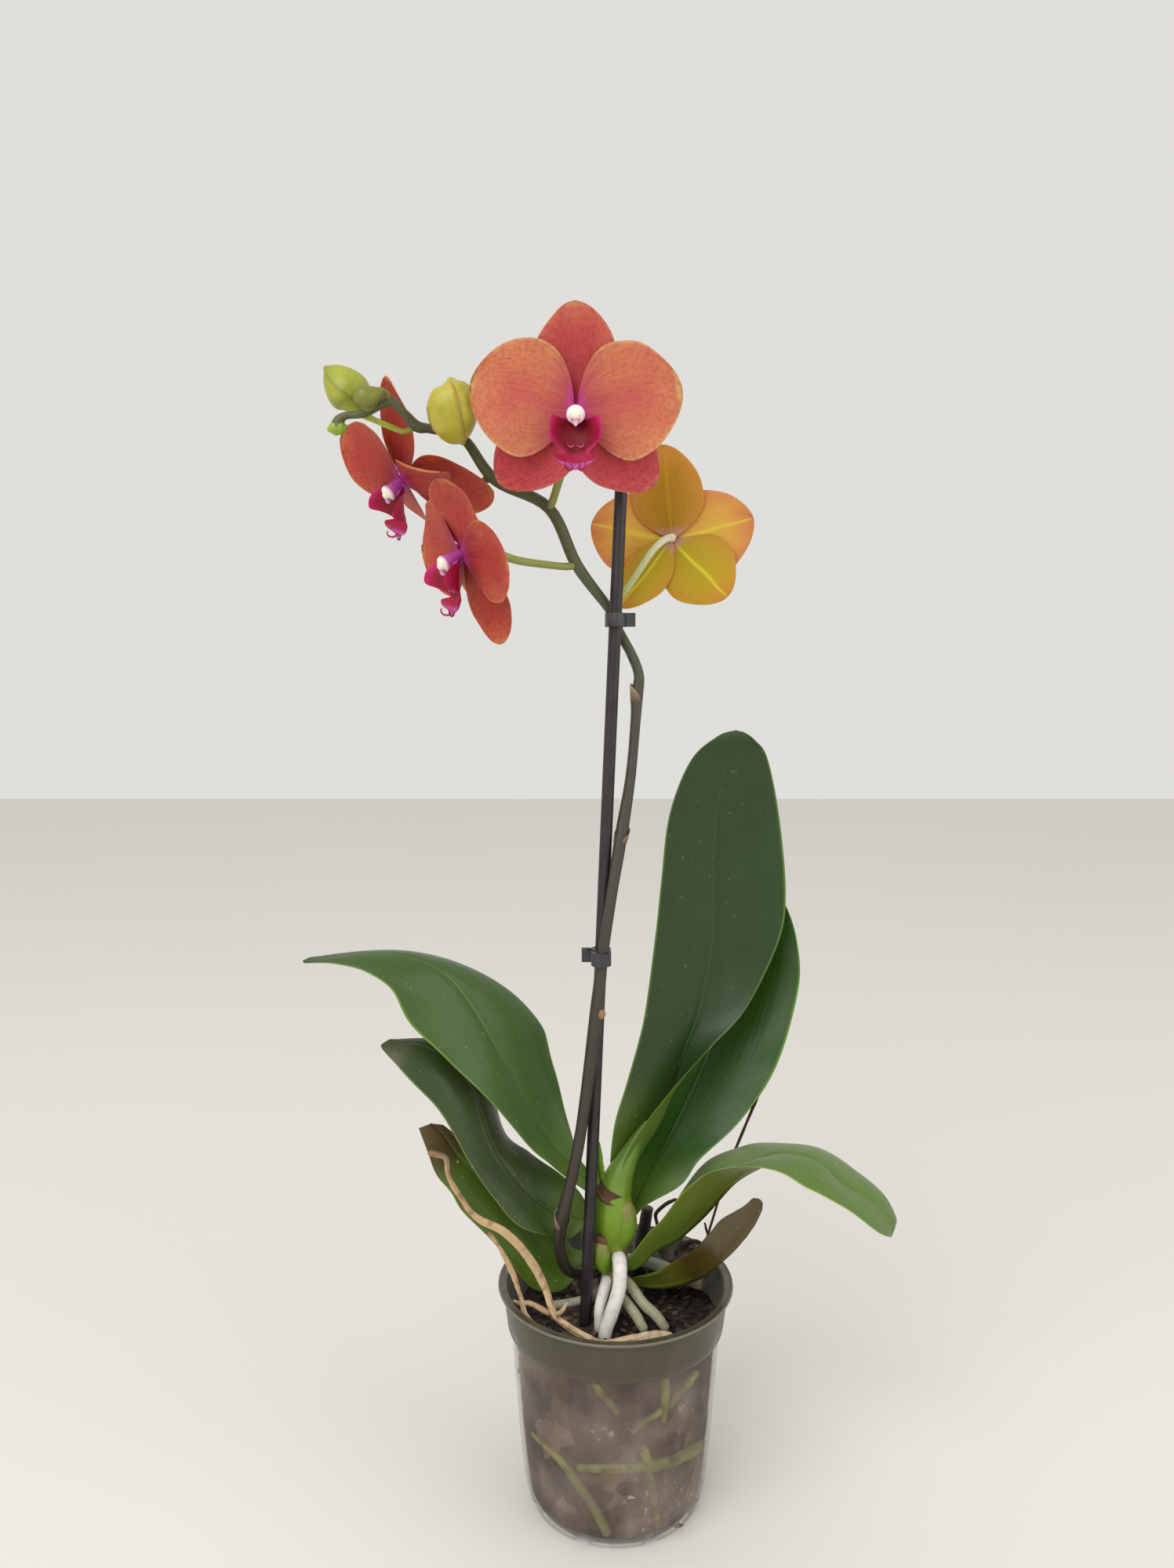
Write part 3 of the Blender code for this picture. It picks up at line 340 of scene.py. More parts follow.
# skins whose colour changes along the piece: colours from foot to tip, each with its place; roughness,
# depth of the relief in metres, colour, cover and number per metre of its flecks, and weight of its coat
RINDS = {
    # soaked spongy coat of a root behind the wall: olive, blotched dark
    "wet_root_velamen": (((0.0, "#6F7040"), (0.3, "#8A8C46"), (0.6, "#6C6B42"), (1.0, "#77744A")),
        0.5, 0.0002, "#3E3B28", 0.75, 170.0, 0.0),
    # thin dead roots and twigs: dull brown, broken by darker flecks
    "dead_root_bark": (((0.0, "#4A3428"), (0.5, "#3A2A22"), (1.0, "#6B4A34")),
        0.75, 0.0002, "#2A2418", 0.5, 300.0, 0.0),
    # living stem: brown and corky below, fresh waxy green above
    "living_stem_rind": (((0.0, "#6E6638"), (0.38, "#7C7A34"), (0.5, "#6A8420"), (0.7, "#729420"),
        (0.88, "#64861E"), (1.0, "#5E8A28")), 0.4, 0.0002, "#4A4A1E", 0.2, 150.0, 0.1),
    # foot of a leaf round the stem: smooth, waxy, lighter than its blade
    "leaf_base_skin": (((0.0, "#5E7420"), (0.3, "#6C8A26"), (0.7, "#5A7A28"), (1.0, "#446424")),
        0.36, 0.0002, "#3E4A1E", 0.15, 120.0, 0.12),
    # ring left by a shed leaf: matt brown paper
    "dried_leaf_collar": (((0.0, "#4E3A24"), (0.5, "#6A4E2C"), (1.0, "#3B281C")),
        0.75, 0.0002, "#2A2418", 0.6, 300.0, 0.0),
    # dry spongy coat of an aerial root: silvery white and chalky
    "dry_velamen": (((0.0, "#C9C8B8"), (0.3, "#EAE8E2"), (0.75, "#E0DED8"), (1.0, "#B8B49E")),
        0.75, 0.0002, "#A09E8C", 0.35, 300.0, 0.0),
    # the same coat when damp: grey-green with darker pits
    "damp_velamen": (((0.0, "#8E9470"), (0.4, "#A3A487"), (0.8, "#ABA78A"), (1.0, "#8F8A6A")),
        0.6, 0.0003, "#6A6A4A", 0.5, 420.0, 0.0),
    # old root, cut off: greyish, browning towards the cut
    "cut_root": (((0.0, "#A9AB98"), (0.6, "#A5A796"), (0.86, "#A39C82"), (1.0, "#B09A72")),
        0.68, 0.0003, "#77745C", 0.5, 380.0, 0.0),
    # dead root: straw-coloured paper with brown creases
    "papery_dead_root": (((0.0, "#876B4D"), (0.15, "#B6966F"), (0.5, "#CAAD84"), (0.8, "#D6BF9E"),
        (1.0, "#C6B597")), 0.8, 0.001, "#7C5A3C", 0.8, 230.0, 0.0),
    # flower spike: purple-brown below, olive further up, lime at the tip
    "spike_rind": (((0.0, "#2C2517"), (0.1, "#281F16"), (0.22, "#362F27"), (0.42, "#3E3B31"),
        (0.6, "#4B5033"), (0.8, "#4A4A2B"), (0.955, "#59602F"), (0.985, "#8FA336"), (1.0, "#9DB83A")),
        0.48, 0.0002, "#2C2A1C", 0.4, 520.0, 0.0),
    # bract on the spike: dry papery brown, pale at its rim
    "dry_bract": (((0.0, "#5A4A3A"), (0.55, "#8C7460"), (1.0, "#C0A98E")),
        0.75, 0.0002, "#2A2418", 0.4, 300.0, 0.0),
    # bud at rest under its bract: tan and dull
    "resting_bud": (((0.0, "#8E7050"), (1.0, "#A88A62")), 0.6, 0.0002, "#2A2418", 0.3, 300.0, 0.0),
    # smallest bud: lime green, softly waxy
    "young_bud": (((0.0, "#6E8A24"), (0.5, "#8CAA2C"), (1.0, "#A4BC40")),
        0.45, 0.0002, "#2A2418", 0.3, 300.0, 0.0),
    # dead spike: nearly black, dry and fibrous
    "dead_spike": (((0.0, "#241D1B"), (0.7, "#2E2523"), (1.0, "#3E332C")),
        0.6, 0.0002, "#2A2418", 0.4, 300.0, 0.0),
    # callus of the lip: waxy pink ridges with crimson specks
    "callus_wax": (((0.0, "#8E1A44"), (0.5, "#B84C74"), (1.0, "#9C2C58")),
        0.5, 0.0002, "#8A1C40", 0.4, 300.0, 0.0),
    # column: waxy purple, paler towards the cap
    "column_wax": (((0.0, "#8E2C66"), (0.5, "#A63C94"), (0.85, "#B450A8"), (1.0, "#D49CCC")),
        0.4, 0.0002, "#8E2C66", 0.15, 300.0, 0.1),
    # anther cap: purple at its foot, then waxy white and cream
    "anther_cap_wax": (((0.0, "#B450A8"), (0.38, "#C07AB4"), (0.62, "#F0E6E2"), (1.0, "#F2E8CC")),
        0.45, 0.0002, "#E2C8D2", 0.1, 300.0, 0.0),
    # stalks of the flowers: ribbed and waxy, green to where the flower tints them
    "pedicel_front_rind": (((0.0, "#7C7A45"), (0.4, "#8E9A4E"), (1.0, "#A3AC62")),
        0.45, 0.0002, "#5C5A30", 0.25, 500.0, 0.0),
    "pedicel_left_rind": (((0.0, "#5E5F30"), (0.5, "#7E8A3C"), (1.0, "#A08C4E")),
        0.45, 0.0002, "#5C5A30", 0.25, 500.0, 0.0),
    "pedicel_lower_rind": (((0.0, "#7A7C3C"), (0.5, "#8A9145"), (1.0, "#A0A552")),
        0.45, 0.0002, "#5C5A30", 0.25, 500.0, 0.0),
    "pedicel_rear_rind": (((0.0, "#8E9A55"), (0.45, "#B5BB82"), (0.7, "#D9D3B4"), (1.0, "#E0C2B4")),
        0.45, 0.0002, "#5C5A30", 0.25, 500.0, 0.0),
}

# roots that press on the clear wall: (direction in degrees, height, radius)
WALL_ROOTS = (
    ((-150.2, 46.3, 1.2), (-136, 45.8, 1.8), (-124.5, 43, 2.3), (-115.2, 34.7, 2.5), (-105.5, 24.7, 2.6),
     (-100.3, 16.4, 2.7), (-96.4, 8.8, 2.4)),
    ((-75.6, 55.5, 1.6), (-74.1, 52.8, 2.2), (-71.9, 45.9, 2.5), (-70.6, 39.3, 2.1), (-67.1, 24.8, 2.0),
     (-63.6, 9.5, 1.6)),
    ((-112.7, 43.2, 2.2), (-97.9, 44.9, 2.6), (-78.6, 45.3, 2.9), (-59.1, 43.5, 3.8), (-42.8, 41.7, 4.2),
     (-26.4, 38.4, 3.4)),
    ((-102, 91, 1.8), (-100.2, 86.5, 2.1), (-95.4, 81.2, 2.1), (-90.3, 75.1, 1.3)),
    ((-63.5, 89.6, 2.3), (-62.9, 77.9, 2.4), (-63.3, 66.7, 1.6)),
    ((-40, 84, 2.2), (-44.8, 81.7, 2.2), (-52.8, 78.5, 2.2), (-60.2, 73.8, 1.6)),
    ((-64, 74, 1.4), (-67.7, 71.7, 1.9), (-74.6, 69.3, 1.7), (-81.8, 64.2, 1.2)),
    ((-170, 70, 1.6), (160, 52, 2.2), (136, 40, 2.4), (118, 22, 2.0)),
    ((20, 80, 2.0), (42, 66, 2.4), (70, 58, 2.4), (96, 36, 2.2), (104, 18, 1.6)),
)
# crumbs at the wall: ((direction, height), half sizes)
WALL_CRUMBS = (
    ((-99.9, 68.7), (1.6, 0.8, 1.4)), ((-96.8, 66.1), (1.8, 0.8, 1.2)), ((-86.7, 69.1), (2.8, 1.0, 2.2)),
    ((-84.5, 66.2), (2.2, 0.9, 1.6)), ((-91, 70.5), (1.2, 0.7, 0.8)), ((-104, 64), (1.0, 0.6, 0.8)),
    ((-58, 88.5), (2.0, 0.6, 1.2)), ((-52, 8.0), (2.4, 0.8, 1.2)),
    ((-121, 74), (1.2, 0.4, 0.8)), ((-140, 58), (1.5, 0.5, 1.0)), ((-83.8, 30.6), (2.6, 0.5, 0.8)),
)
# clods of moss and bark behind the stem: (centre, half sizes)
CLODS = (
    ((27, 38, 106), (13, 8, 11)), ((39, 34, 103), (9, 8, 8)), ((20, 43, 111), (8, 5, 9)),
    ((33, 26, 101), (9, 7, 5)),
)
# twigs and thin dead roots: (x, y, z, radius)
TWIGS = (
    ((78, 34, 204, 0.9), (76, 33, 198, 1.0), (72, 33.5, 187, 0.8), (67.5, 34, 175, 0.8), (63, 34, 163, 0.7),
     (56, 33, 140, 0.7), (48, 32, 112, 0.7)),
    ((33.9, 40, 138, 0.8), (28.8, 40, 135.5, 1.1), (23.7, 40, 131, 1.1), (23, 40, 127, 1.0),
     (26, 40, 116, 0.9)),
    ((49.4, 36, 126.5, 0.5), (50.4, 36, 122, 0.7), (51.5, 35, 118, 0.8), (46, 36, 112, 0.8),
     (40, 36, 106, 0.7)),
    ((50.8, 33, 114, 0.9), (44, 34, 117, 1.3), (38.4, 35, 114.5, 1.5), (34, 33, 110, 1.4),
     (37, 31, 104, 1.2)),
    ((50.5, 31, 108, 0.8), (45.3, 31, 111, 1.1), (41, 31, 108, 1.2), (38.5, 30, 102, 1.0)),
)
# side shoot and torn end of the long dead root
SPUR = ((-31, -22, 108.3, 1.3), (-28.5, -24.5, 110, 1.3), (-26, -25.2, 113, 1.0), (-24.5, -25.4, 116, 0.5))
TORN_END = ((-33, -20.5, 107.5, 1.5), (-38, -18, 109, 1.5), (-43.5, -16, 110.6, 1.3),
            (-48, -14.6, 109.4, 1.2), (-51.5, -13.4, 110.4, 0.6))
# swellings of the stem: the right half of the joint, and a dormant bulb at its foot
STEM_LOBES = (
    ((4, 1, 157, 2.6), (5.2, -0.8, 152, 4.8), (5.4, -1.0, 143, 5.4), (3.8, 0, 134, 3.4)),
    ((-6.5, 0, 138.5, 2.2), (-7.6, -2.6, 134, 4.4), (-7.2, -3.4, 127.5, 4.8), (-5.4, -2, 121, 3.2)),
)
# leaf bases that clasp the stem and run up into the folds of the upper leaves
CLASPS = (
    ((-1, 4, 154, 7.8), (-0.2, 4.4, 161, 8.6), (2, 4.4, 168, 7.2), (5.5, 4.6, 176, 5.4),
     (10.5, 6, 186, 3.4), (16, 8, 195, 1.2)),
    ((-2, 4, 151, 7.0), (-4.5, 4.2, 157, 6.4), (-8, 4.6, 161, 4.2), (-12, 5.4, 165, 2.2),
     (-14.5, 6, 167, 1.0)),
    ((0, 5, 138, 8.4), (3, 6.6, 144, 7.0), (6, 9, 148, 4.0), (8, 11, 150, 1.5)),
    ((-2, 4, 136, 8.0), (-5, 4.4, 141, 6.0), (-8, 5, 144.5, 3.0), (-10, 5.4, 146, 1.2)),
)
# dried collars left by shed leaves
COLLARS = (
    ((-1.6, 4.6, 158.6, 9.4), (-1.2, 4.2, 159.4, 10.1), (-0.9, 3.9, 160.2, 10.2), (-0.6, 3.6, 160.9, 9.2)),
    ((-0.8, 4.4, 130.4, 7.6), (-1, 4, 131, 8.6), (-1.2, 3.8, 131.8, 8.0)),
    ((-6.8, -1.0, 136.4, 3.6), (-7.2, -2.0, 137.0, 4.4), (-7.0, -1.6, 137.8, 3.6)),
)
# dry bracts: (centre, direction, turn, radius, height)
BRACTS = (
    ((-27.6, -12.4, 148.5), (0.15, -0.1, 1), 1.2, 3.3, 8.5),
    ((1.2, -9.8, 342), (0.22, 0.14, 1), 0.4, 3.0, 9.0),
    ((9.4, -2.7, 410), (0.05, 0.03, 1), 2.0, 2.8, 9.0),
)
# resting buds: (centre, half sizes)
NODE_BUDS = (((-7.6, -16.9, 259.5), (2.0, 1.7, 2.6)),)
TIP_BUD = ((-123.8, -26.4, 535.4, 1.4), (-125.6, -26.4, 535.2, 2.9), (-129, -26.4, 534.8, 3.1),
           (-131.2, -26.4, 534.4, 1.5))


def linear(code):
    """sRGB hex colour as linear RGBA."""
    out = []
    for k in (1, 3, 5):
        c = int(code[k:k + 2], 16) / 255
        out.append(c / 12.92 if c <= 0.04045 else ((c + 0.055) / 1.055) ** 2.4)
    return (*out, 1.0)


def ease(x, low, high):
    """0 below low, 1 above high, smooth between."""
    x = min(max((x - low) / (high - low), 0.0), 1.0)
    return x * x * (3 - 2 * x)


def ripple(seed, x, y=0.0):
    """Smooth noise from -1 to 1."""
    return noise.noise(Vector((x, y, seed * 7.31)))


# ---------------------------------------------------------------- mesh making


def spline(points, steps):
    """Smooth run through the points, a number of steps per span."""
    rows = [Vector(p) for p in points]
    out = []
    for i in range(len(rows) - 1):
        p1, p2 = rows[i], rows[i + 1]
        p0 = rows[i - 1] if i else p1 * 2 - p2
        p3 = rows[i + 2] if i + 2 < len(rows) else p2 * 2 - p1
        for k in range(steps):
            t = k / steps
            out.append(0.5 * (2 * p1 + (p2 - p0) * t + (2 * p0 - 5 * p1 + 4 * p2 - p3) * t * t
                              + (3 * p1 - p0 - 3 * p2 + p3) * t ** 3))
    out.append(rows[-1])
    return out


def lay_rings(bm, rings, marks):
    """Grid rolled into closed rings of points; marks(row, column) gives along, across, back."""
    cols, rows = len(rings[0]), len(rings) - 1
    layers = [bm.verts.layers.float.get(n) or bm.verts.layers.float.new(n) for n in MARKS]
    made = bmesh.ops.create_grid(bm, x_segments=cols, y_segments=rows, size=1.0, calc_uvs=True)
    for vert in made["verts"]:
        i = round((vert.co.x + 1) / 2 * cols) % cols
        j = round((vert.co.y + 1) / 2 * rows)
        vert.co = rings[j][i]
        for layer, value in zip(layers, marks(j, i)):
            vert[layer] = value
    bmesh.ops.remove_doubles(bm, verts=made["verts"], dist=1e-4)


def lay_tube(bm, path, sides=16, steps=6, shape=None, blunt=False, place=None):
    """Round rod through (x, y, z, radius) with closed ends; shape(turn, along) scales the radius."""
    run = spline([Vector(p) for p in path], steps)
    centres = [Vector(p[:3]) for p in run]
    radii = [max(p[3], 0.05) for p in run]
    tangents = []
    for i in range(len(centres)):
        a, b = centres[max(i - 1, 0)], centres[min(i + 1, len(centres) - 1)]
        tangents.append((b - a).normalized())
    side = tangents[0].orthogonal().normalized()
    rings = []
    last = len(run) - 1
    for i, (c, t, r) in enumerate(zip(centres, tangents, radii)):
        side = (side - t * side.dot(t)).normalized()
        other = t.cross(side)
        ring = []
        for k in range(sides):
            turn = 2 * math.pi * k / sides
            here = r * (shape(turn, i / last) if shape else 1.0)
            ring.append(c + (side * math.cos(turn) + other * math.sin(turn)) * here)
        rings.append(ring)
    for end, sign in ((0, -1), (-1, 1)):
        c, t, r = centres[end], tangents[end] * sign, radii[end]
        caps = ((0.9, 0.02), (0.5, 0.03), (0.0, 0.03)) if blunt else ((0.8, 0.35), (0.45, 0.6), (0.0, 0.7))
        extra = [[c + (p - c) * grow + t * r * out for p in rings[end]] for grow, out in caps]
        rings = extra[::-1] + rings if end == 0 else rings + extra
    count = len(rings) - 1
    if place:
        rings = [[place @ p for p in ring] for ring in rings]
    lay_rings(bm, rings, lambda j, i: (j / count, math.cos(2 * math.pi * i / sides),
                                       math.sin(2 * math.pi * i / sides)))


def lay_blade(bm, place, rows, cols, thick, side=1, spread=1.0):
    """Closed thin blade: place(t, a) is its middle surface and thick(t, a) its thickness, where t runs
    from foot to tip and a from edge to edge; spread above 1 packs the rows closer at the tip."""
    along = [1 - (1 - i / rows) ** spread for i in range(rows + 1)]
    across = [math.sin(math.pi / 2 * (2 * j / cols - 1)) for j in range(cols + 1)]
    grid = [[place(t, a) for a in across] for t in along]
    rings = []
    before = [None] * (cols + 1)
    normals = []
    for i in range(rows + 1):
        line = []
        for j in range(cols + 1):
            du = grid[min(i + 1, rows)][j] - grid[max(i - 1, 0)][j]
            dv = grid[i][min(j + 1, cols)] - grid[i][max(j - 1, 0)]
            normal = du.cross(dv)
            if normal.length < 1e-5 and before[j]:
                normal = before[j]
            normal = normal.normalized() * side
            before[j] = normal
            line.append(normal)
        normals.append(line)
    for i, t in enumerate(along):
        front, back = [], []
        for j, a in enumerate(across):
            half = thick(t, a) / 2 * math.sqrt(max(1 - a ** 8, 0.0)) * math.sqrt(max(1 - t ** 16, 0.0))
            front.append(grid[i][j] + normals[i][j] * half)
            back.append(grid[i][j] - normals[i][j] * half)
        rings.append(front + back[-2:0:-1])
    if (grid[0][0] - grid[0][cols]).length > 0.01:
        rings.insert(0, [sum(grid[0], Vector()) / (cols + 1)] * (2 * cols))
        along.insert(0, along[0])
    if (grid[-1][0] - grid[-1][cols]).length > 0.01:
        tip = sum(grid[-1], Vector()) / (cols + 1)
        rings.append([tip] * (2 * cols))
        along.append(along[-1])

    def marks(j, i):
        if i <= cols:
            return along[j], across[i], 0.5 if i in (0, cols) else 0.0
        return along[j], across[2 * cols - i], 1.0
    lay_rings(bm, rings, marks)


def lay_turned(bm, profile, segments):
    """Profile (radius, z) turned about +Z."""
    verts = [bmesh.ops.create_vert(bm, co=(r, 0, z))["vert"][0] for r, z in profile]
    edges = [bm.edges.new(pair) for pair in zip(verts, verts[1:])]
    bmesh.ops.spin(bm, geom=verts + edges, cent=(0, 0, 0), axis=(0, 0, 1), angle=2 * math.pi,
                   steps=segments, use_merge=True)
    bmesh.ops.remove_doubles(bm, verts=bm.verts, dist=1e-4)


def piece(bm, name, materials, nodes=(), smooth=True):
    """Finish a piece: turn its faces outward, scale to metres and hang it on the plant."""
    bmesh.ops.recalc_face_normals(bm, faces=bm.faces)
    bmesh.ops.scale(bm, vec=(MM, MM, MM), verts=bm.verts)
    for face in bm.faces:
        face.smooth = smooth
    mesh = bpy.data.meshes.new(name)
    bm.to_mesh(mesh)
    bm.free()
    for mat in materials:
        mesh.materials.append(mat)
    obj = bpy.data.objects.new(name, mesh)
    bpy.context.scene.collection.objects.link(obj)
    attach(obj, "root")
    if nodes:
        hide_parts(*nodes)
    return obj


def rods(name, mat, paths, sides, steps, shape=None, nodes=(), blunt=False):
    """Piece made of one or more round rods; returns it."""
    bm = bmesh.new()
    for path in paths:
        lay_tube(bm, path, sides, steps, shape, blunt)
    return piece(bm, name, [mat], nodes)


def uneven(seed, depth, along, around=1.0):
    """Shape of a rod whose radius wanders by depth, along it and round it."""
    return lambda turn, t: 1 + depth * ripple(seed, t * along, math.cos(turn) * around)


# ---------------------------------------------------------------- materials


def add(tree, kind, inputs=None, out=0, stops=None, **settings):
    """Add a node with its settings, values, links and colour stops; returns one of its outputs."""
    node = tree.nodes.new("ShaderNode" + kind)
    for key, value in settings.items():
        setattr(node, key, value)
    if stops:
        ramp = node.color_ramp
        while len(ramp.elements) < len(stops):
            ramp.elements.new(0.5)
        for element, (at, colour) in zip(ramp.elements, stops):
            element.position = at
            element.color = linear(colour)
    for key, value in (inputs or {}).items():
        if isinstance(value, bpy.types.NodeSocket):
            tree.links.new(value, node.inputs[key])
        else:
            node.inputs[key].default_value = value
    return node.outputs[out]


def start(name, roughness=0.5, **sockets):
    """New material; returns it, its node tree and its Principled shader."""
    mat = bpy.data.materials.new(name)
    mat.use_nodes = True
    shader = mat.node_tree.nodes["Principled BSDF"]
    shader.inputs["Roughness"].default_value = roughness
    for key, value in sockets.items():
        shader.inputs[key.replace("_", " ")].default_value = value
    return mat, mat.node_tree, shader


def wire(tree, shader, **links):
    """Link sockets to the shader's inputs."""
    for key, value in links.items():
        tree.links.new(value, shader.inputs[key.replace("_", " ")])


EVEN = {"interpolation_type": "LINEAR"}
SMOOTH = {"interpolation_type": "SMOOTHSTEP"}
MIX = {"out": 2, "data_type": "RGBA"}


def surface(tree):
    """Where a point lies: along its piece, across it, on which side of it, and in the plant."""
    marks = [add(tree, "Attribute", out="Fac", attribute_name=name) for name in MARKS]
    return (*marks, add(tree, "TexCoord", out="Object"))


def paint(tree, body, coats):
    """Lay coats over a colour; each is (its edge, mask, low, high, cover at low, cover at high, colour)."""
    for edge, mask, low, high, least, most, over in coats:
        cover = add(tree, "MapRange", {0: mask, 1: low, 2: high, 3: least, 4: most}, **edge)
        body = add(tree, "Mix", {0: cover, 6: body, 7: linear(over)}, **MIX)
    return body


def unsettle(tree, value, cloud, by, low=0.0, high=1.0):
    """Value pushed up and down by a noise, so that the edge it draws is uneven."""
    push = add(tree, "MapRange", {0: cloud, 1: low, 2: high, 3: -by, 4: by})
    return add(tree, "Math", {0: value, 1: push}, operation="ADD")


def veining(tree, across, along, side, count, **grain):
    """Noise drawn out lengthwise: about this many veins from the midrib to an edge."""
    drawn = add(tree, "CombineXYZ", {0: add(tree, "Math", {0: across, 1: count}, operation="MULTIPLY"),
                                     1: add(tree, "Math", {0: along, 1: 2.2}, operation="MULTIPLY"),
                                     2: side})
    return add(tree, "TexNoise", {"Vector": drawn, "Scale": 1.0, **grain})


def with_share(tree, value, other, share):
    """Value plus a share of another."""
    part = add(tree, "Math", {0: other, 1: share}, operation="MULTIPLY")
    return add(tree, "Math", {0: value, 1: part}, operation="ADD")


def leaf_skin(name, upper, lower, tip, sheen=0.34):
    """Living leaf: waxy and leathery, so a broad soft gloss over fine veins that run its length."""
    mat, tree, shader = start(name, sheen, IOR=1.4, Coat_Weight=0.1, Coat_Roughness=0.25)
    along, across, back, place = surface(tree)
    reach = add(tree, "Math", {0: across}, operation="ABSOLUTE")
    # veins about 1.5 mm apart: drawn coarser than the real ones so that they show
    veins = veining(tree, across, along, back, 34.0, Detail=2.0)
    cloud = add(tree, "TexNoise", {"Vector": place, "Scale": 26.0, "Detail": 3.0})
    top = add(tree, "Mix", {0: cloud, 6: linear(upper[0]), 7: linear(upper[1])}, **MIX)
    top = paint(tree, top, [
        (EVEN, veins, 0.35, 0.7, 0.0, 0.22, upper[2]),
        (SMOOTH, reach, 0.0, 0.035, 0.55, 0.0, upper[3]),
    ])
    under = add(tree, "Mix", {0: cloud, 6: linear(lower[0]), 7: linear(lower[1])}, **MIX)
    under = paint(tree, under, [(SMOOTH, reach, 0.02, 0.12, 0.4, 0.0, upper[2])])
    both = add(tree, "Mix", {0: add(tree, "MapRange", {0: back, 1: 0.45, 2: 0.55}), 6: top, 7: under},
               **MIX)
    worn = with_share(tree, along, cloud, 0.18)
    specks = add(tree, "TexNoise", {"Vector": place, "Scale": 420.0, "Detail": 1.0})
    tip_colour, tip_from, tip_cover, dust = tip
    both = paint(tree, both, [
        (SMOOTH, reach, 0.955, 0.995, 0.0, 0.7, upper[4]),
        # paler towards the foot: in part the leaf's own paler base, in part painted light that lifts the
        # shade the fold casts there
        (SMOOTH, along, 0.02, 0.42, 0.85, 0.0, "#6A8630"),
        (SMOOTH, worn, tip_from, tip_from + 0.12, 0.0, tip_cover, tip_colour),
        (EVEN, specks, 0.735, 0.77, 0.0, dust, "#B9BF8C"),
    ])
    wire(tree, shader, Base_Color=both,
         Roughness=add(tree, "MapRange", {0: cloud, 3: sheen - 0.06, 4: sheen + 0.1}),
         Normal=add(tree, "Bump", {"Height": with_share(tree, veins, cloud, 2.0), "Distance": 0.0004,
                                   "Strength": 0.5}))
    return mat


def petal_skin(name, front, back, mottle):
    """Petal tissue: velvety cells that scatter light, freckled, with fine veins from the centre."""
    mat, tree, shader = start(name, 0.62, IOR=1.37, Subsurface_Weight=0.15, Subsurface_Scale=0.004,
                              Subsurface_Radius=(1.0, 0.35, 0.2))
    along, across, behind, place = surface(tree)
    middle, body, outer, rim, freckle, stain, flush = front
    reach = add(tree, "Math", {0: across}, operation="ABSOLUTE")
    # distance to the rim, through the tip as well as the sides
    out = add(tree, "Math", {0: reach, 1: add(tree, "MapRange", {0: along, 1: 0.5, 2: 1.0}, **SMOOTH)},
              operation="MAXIMUM")
    veins = veining(tree, across, along, behind, 15.0, Detail=4.0, Distortion=0.8)
    cloud = add(tree, "TexNoise", {"Vector": place, "Scale": 55.0, "Detail": 4.0})
    # freckles about 1.8 mm apart, as coarse as they need to be to show
    freckles = add(tree, "TexNoise", {"Vector": place, "Scale": 560.0, "Detail": 3.0})
    rosy = add(tree, "TexNoise", {"Vector": place, "Scale": 34.0, "Detail": 2.0})
    soft = unsettle(tree, out, cloud, 0.22)
    face = add(tree, "ValToRGB", {0: soft}, stops=[(0.0, middle), (0.45, body), (0.85, outer)])
    face = paint(tree, face, [
        (EVEN, rosy, 0.4, 0.75, 0.0, 0.3, middle),
        (SMOOTH, unsettle(tree, out, cloud, 0.03), 0.93, 1.0, 0.0, 0.55, rim),
        (EVEN, veins, 0.52, 0.7, 0.0, mottle * 0.5, freckle),
        (EVEN, freckles, 0.46, 0.62, 0.0, mottle, freckle),
        (SMOOTH, unsettle(tree, along, veins, 0.1, 0.3, 0.7), 0.08, 0.36, 0.85, 0.0, stain),
        (SMOOTH, along, 0.03, 0.12, 1.0, 0.0, flush),
    ])
    rear = add(tree, "ValToRGB", {0: soft}, stops=[(0.0, back[0]), (0.5, back[1]), (1.0, back[2])])
    rear = paint(tree, rear, [
        (SMOOTH, reach, 0.0, 0.09, 0.7, 0.0, back[3]),
        (EVEN, veins, 0.5, 0.7, 0.0, 0.35, back[2]),
        (SMOOTH, along, 0.02, 0.16, 0.85, 0.0, back[4]),
    ])
    both = add(tree, "Mix", {0: add(tree, "MapRange", {0: behind, 1: 0.4, 2: 0.6}), 6: face, 7: rear},
               **MIX)
    wire(tree, shader, Base_Color=both,
         Normal=add(tree, "Bump", {"Height": with_share(tree, veins, freckles, 0.2), "Distance": 0.001,
                                   "Strength": 0.6}))
    return mat


def lip_skin(name, deep, bright, tip):
    """Fleshy lip of the flower: smooth and waxy, dark in its throat and bright on its rims."""
    mat, tree, shader = start(name, 0.55, IOR=1.37, Subsurface_Weight=0.1, Subsurface_Scale=0.003)
    along, across, behind, place = surface(tree)
    reach = add(tree, "Math", {0: across}, operation="ABSOLUTE")
    cloud = add(tree, "TexNoise", {"Vector": place, "Scale": 420.0, "Detail": 3.0})
    body = add(tree, "ValToRGB", {0: unsettle(tree, reach, cloud, 0.12)},
               stops=[(0.0, deep), (0.45, deep), (0.75, bright[0]), (1.0, bright[1])])
    body = paint(tree, body, [
        (EVEN, behind, 0.4, 0.6, 0.0, 0.85, bright[0]),
        (SMOOTH, along, 0.02, 0.12, 0.8, 0.0, tip[1]),
        (SMOOTH, along, 0.6, 0.72, 0.0, 1.0, bright[0]),
        (SMOOTH, along, 0.8, 0.94, 0.0, 1.0, tip[0]),
        (EVEN, cloud, 0.5, 0.75, 0.0, 0.3, deep),
    ])
    wire(tree, shader, Base_Color=body,
         Normal=add(tree, "Bump", {"Height": cloud, "Distance": 0.0002, "Strength": 0.5}))
    return mat


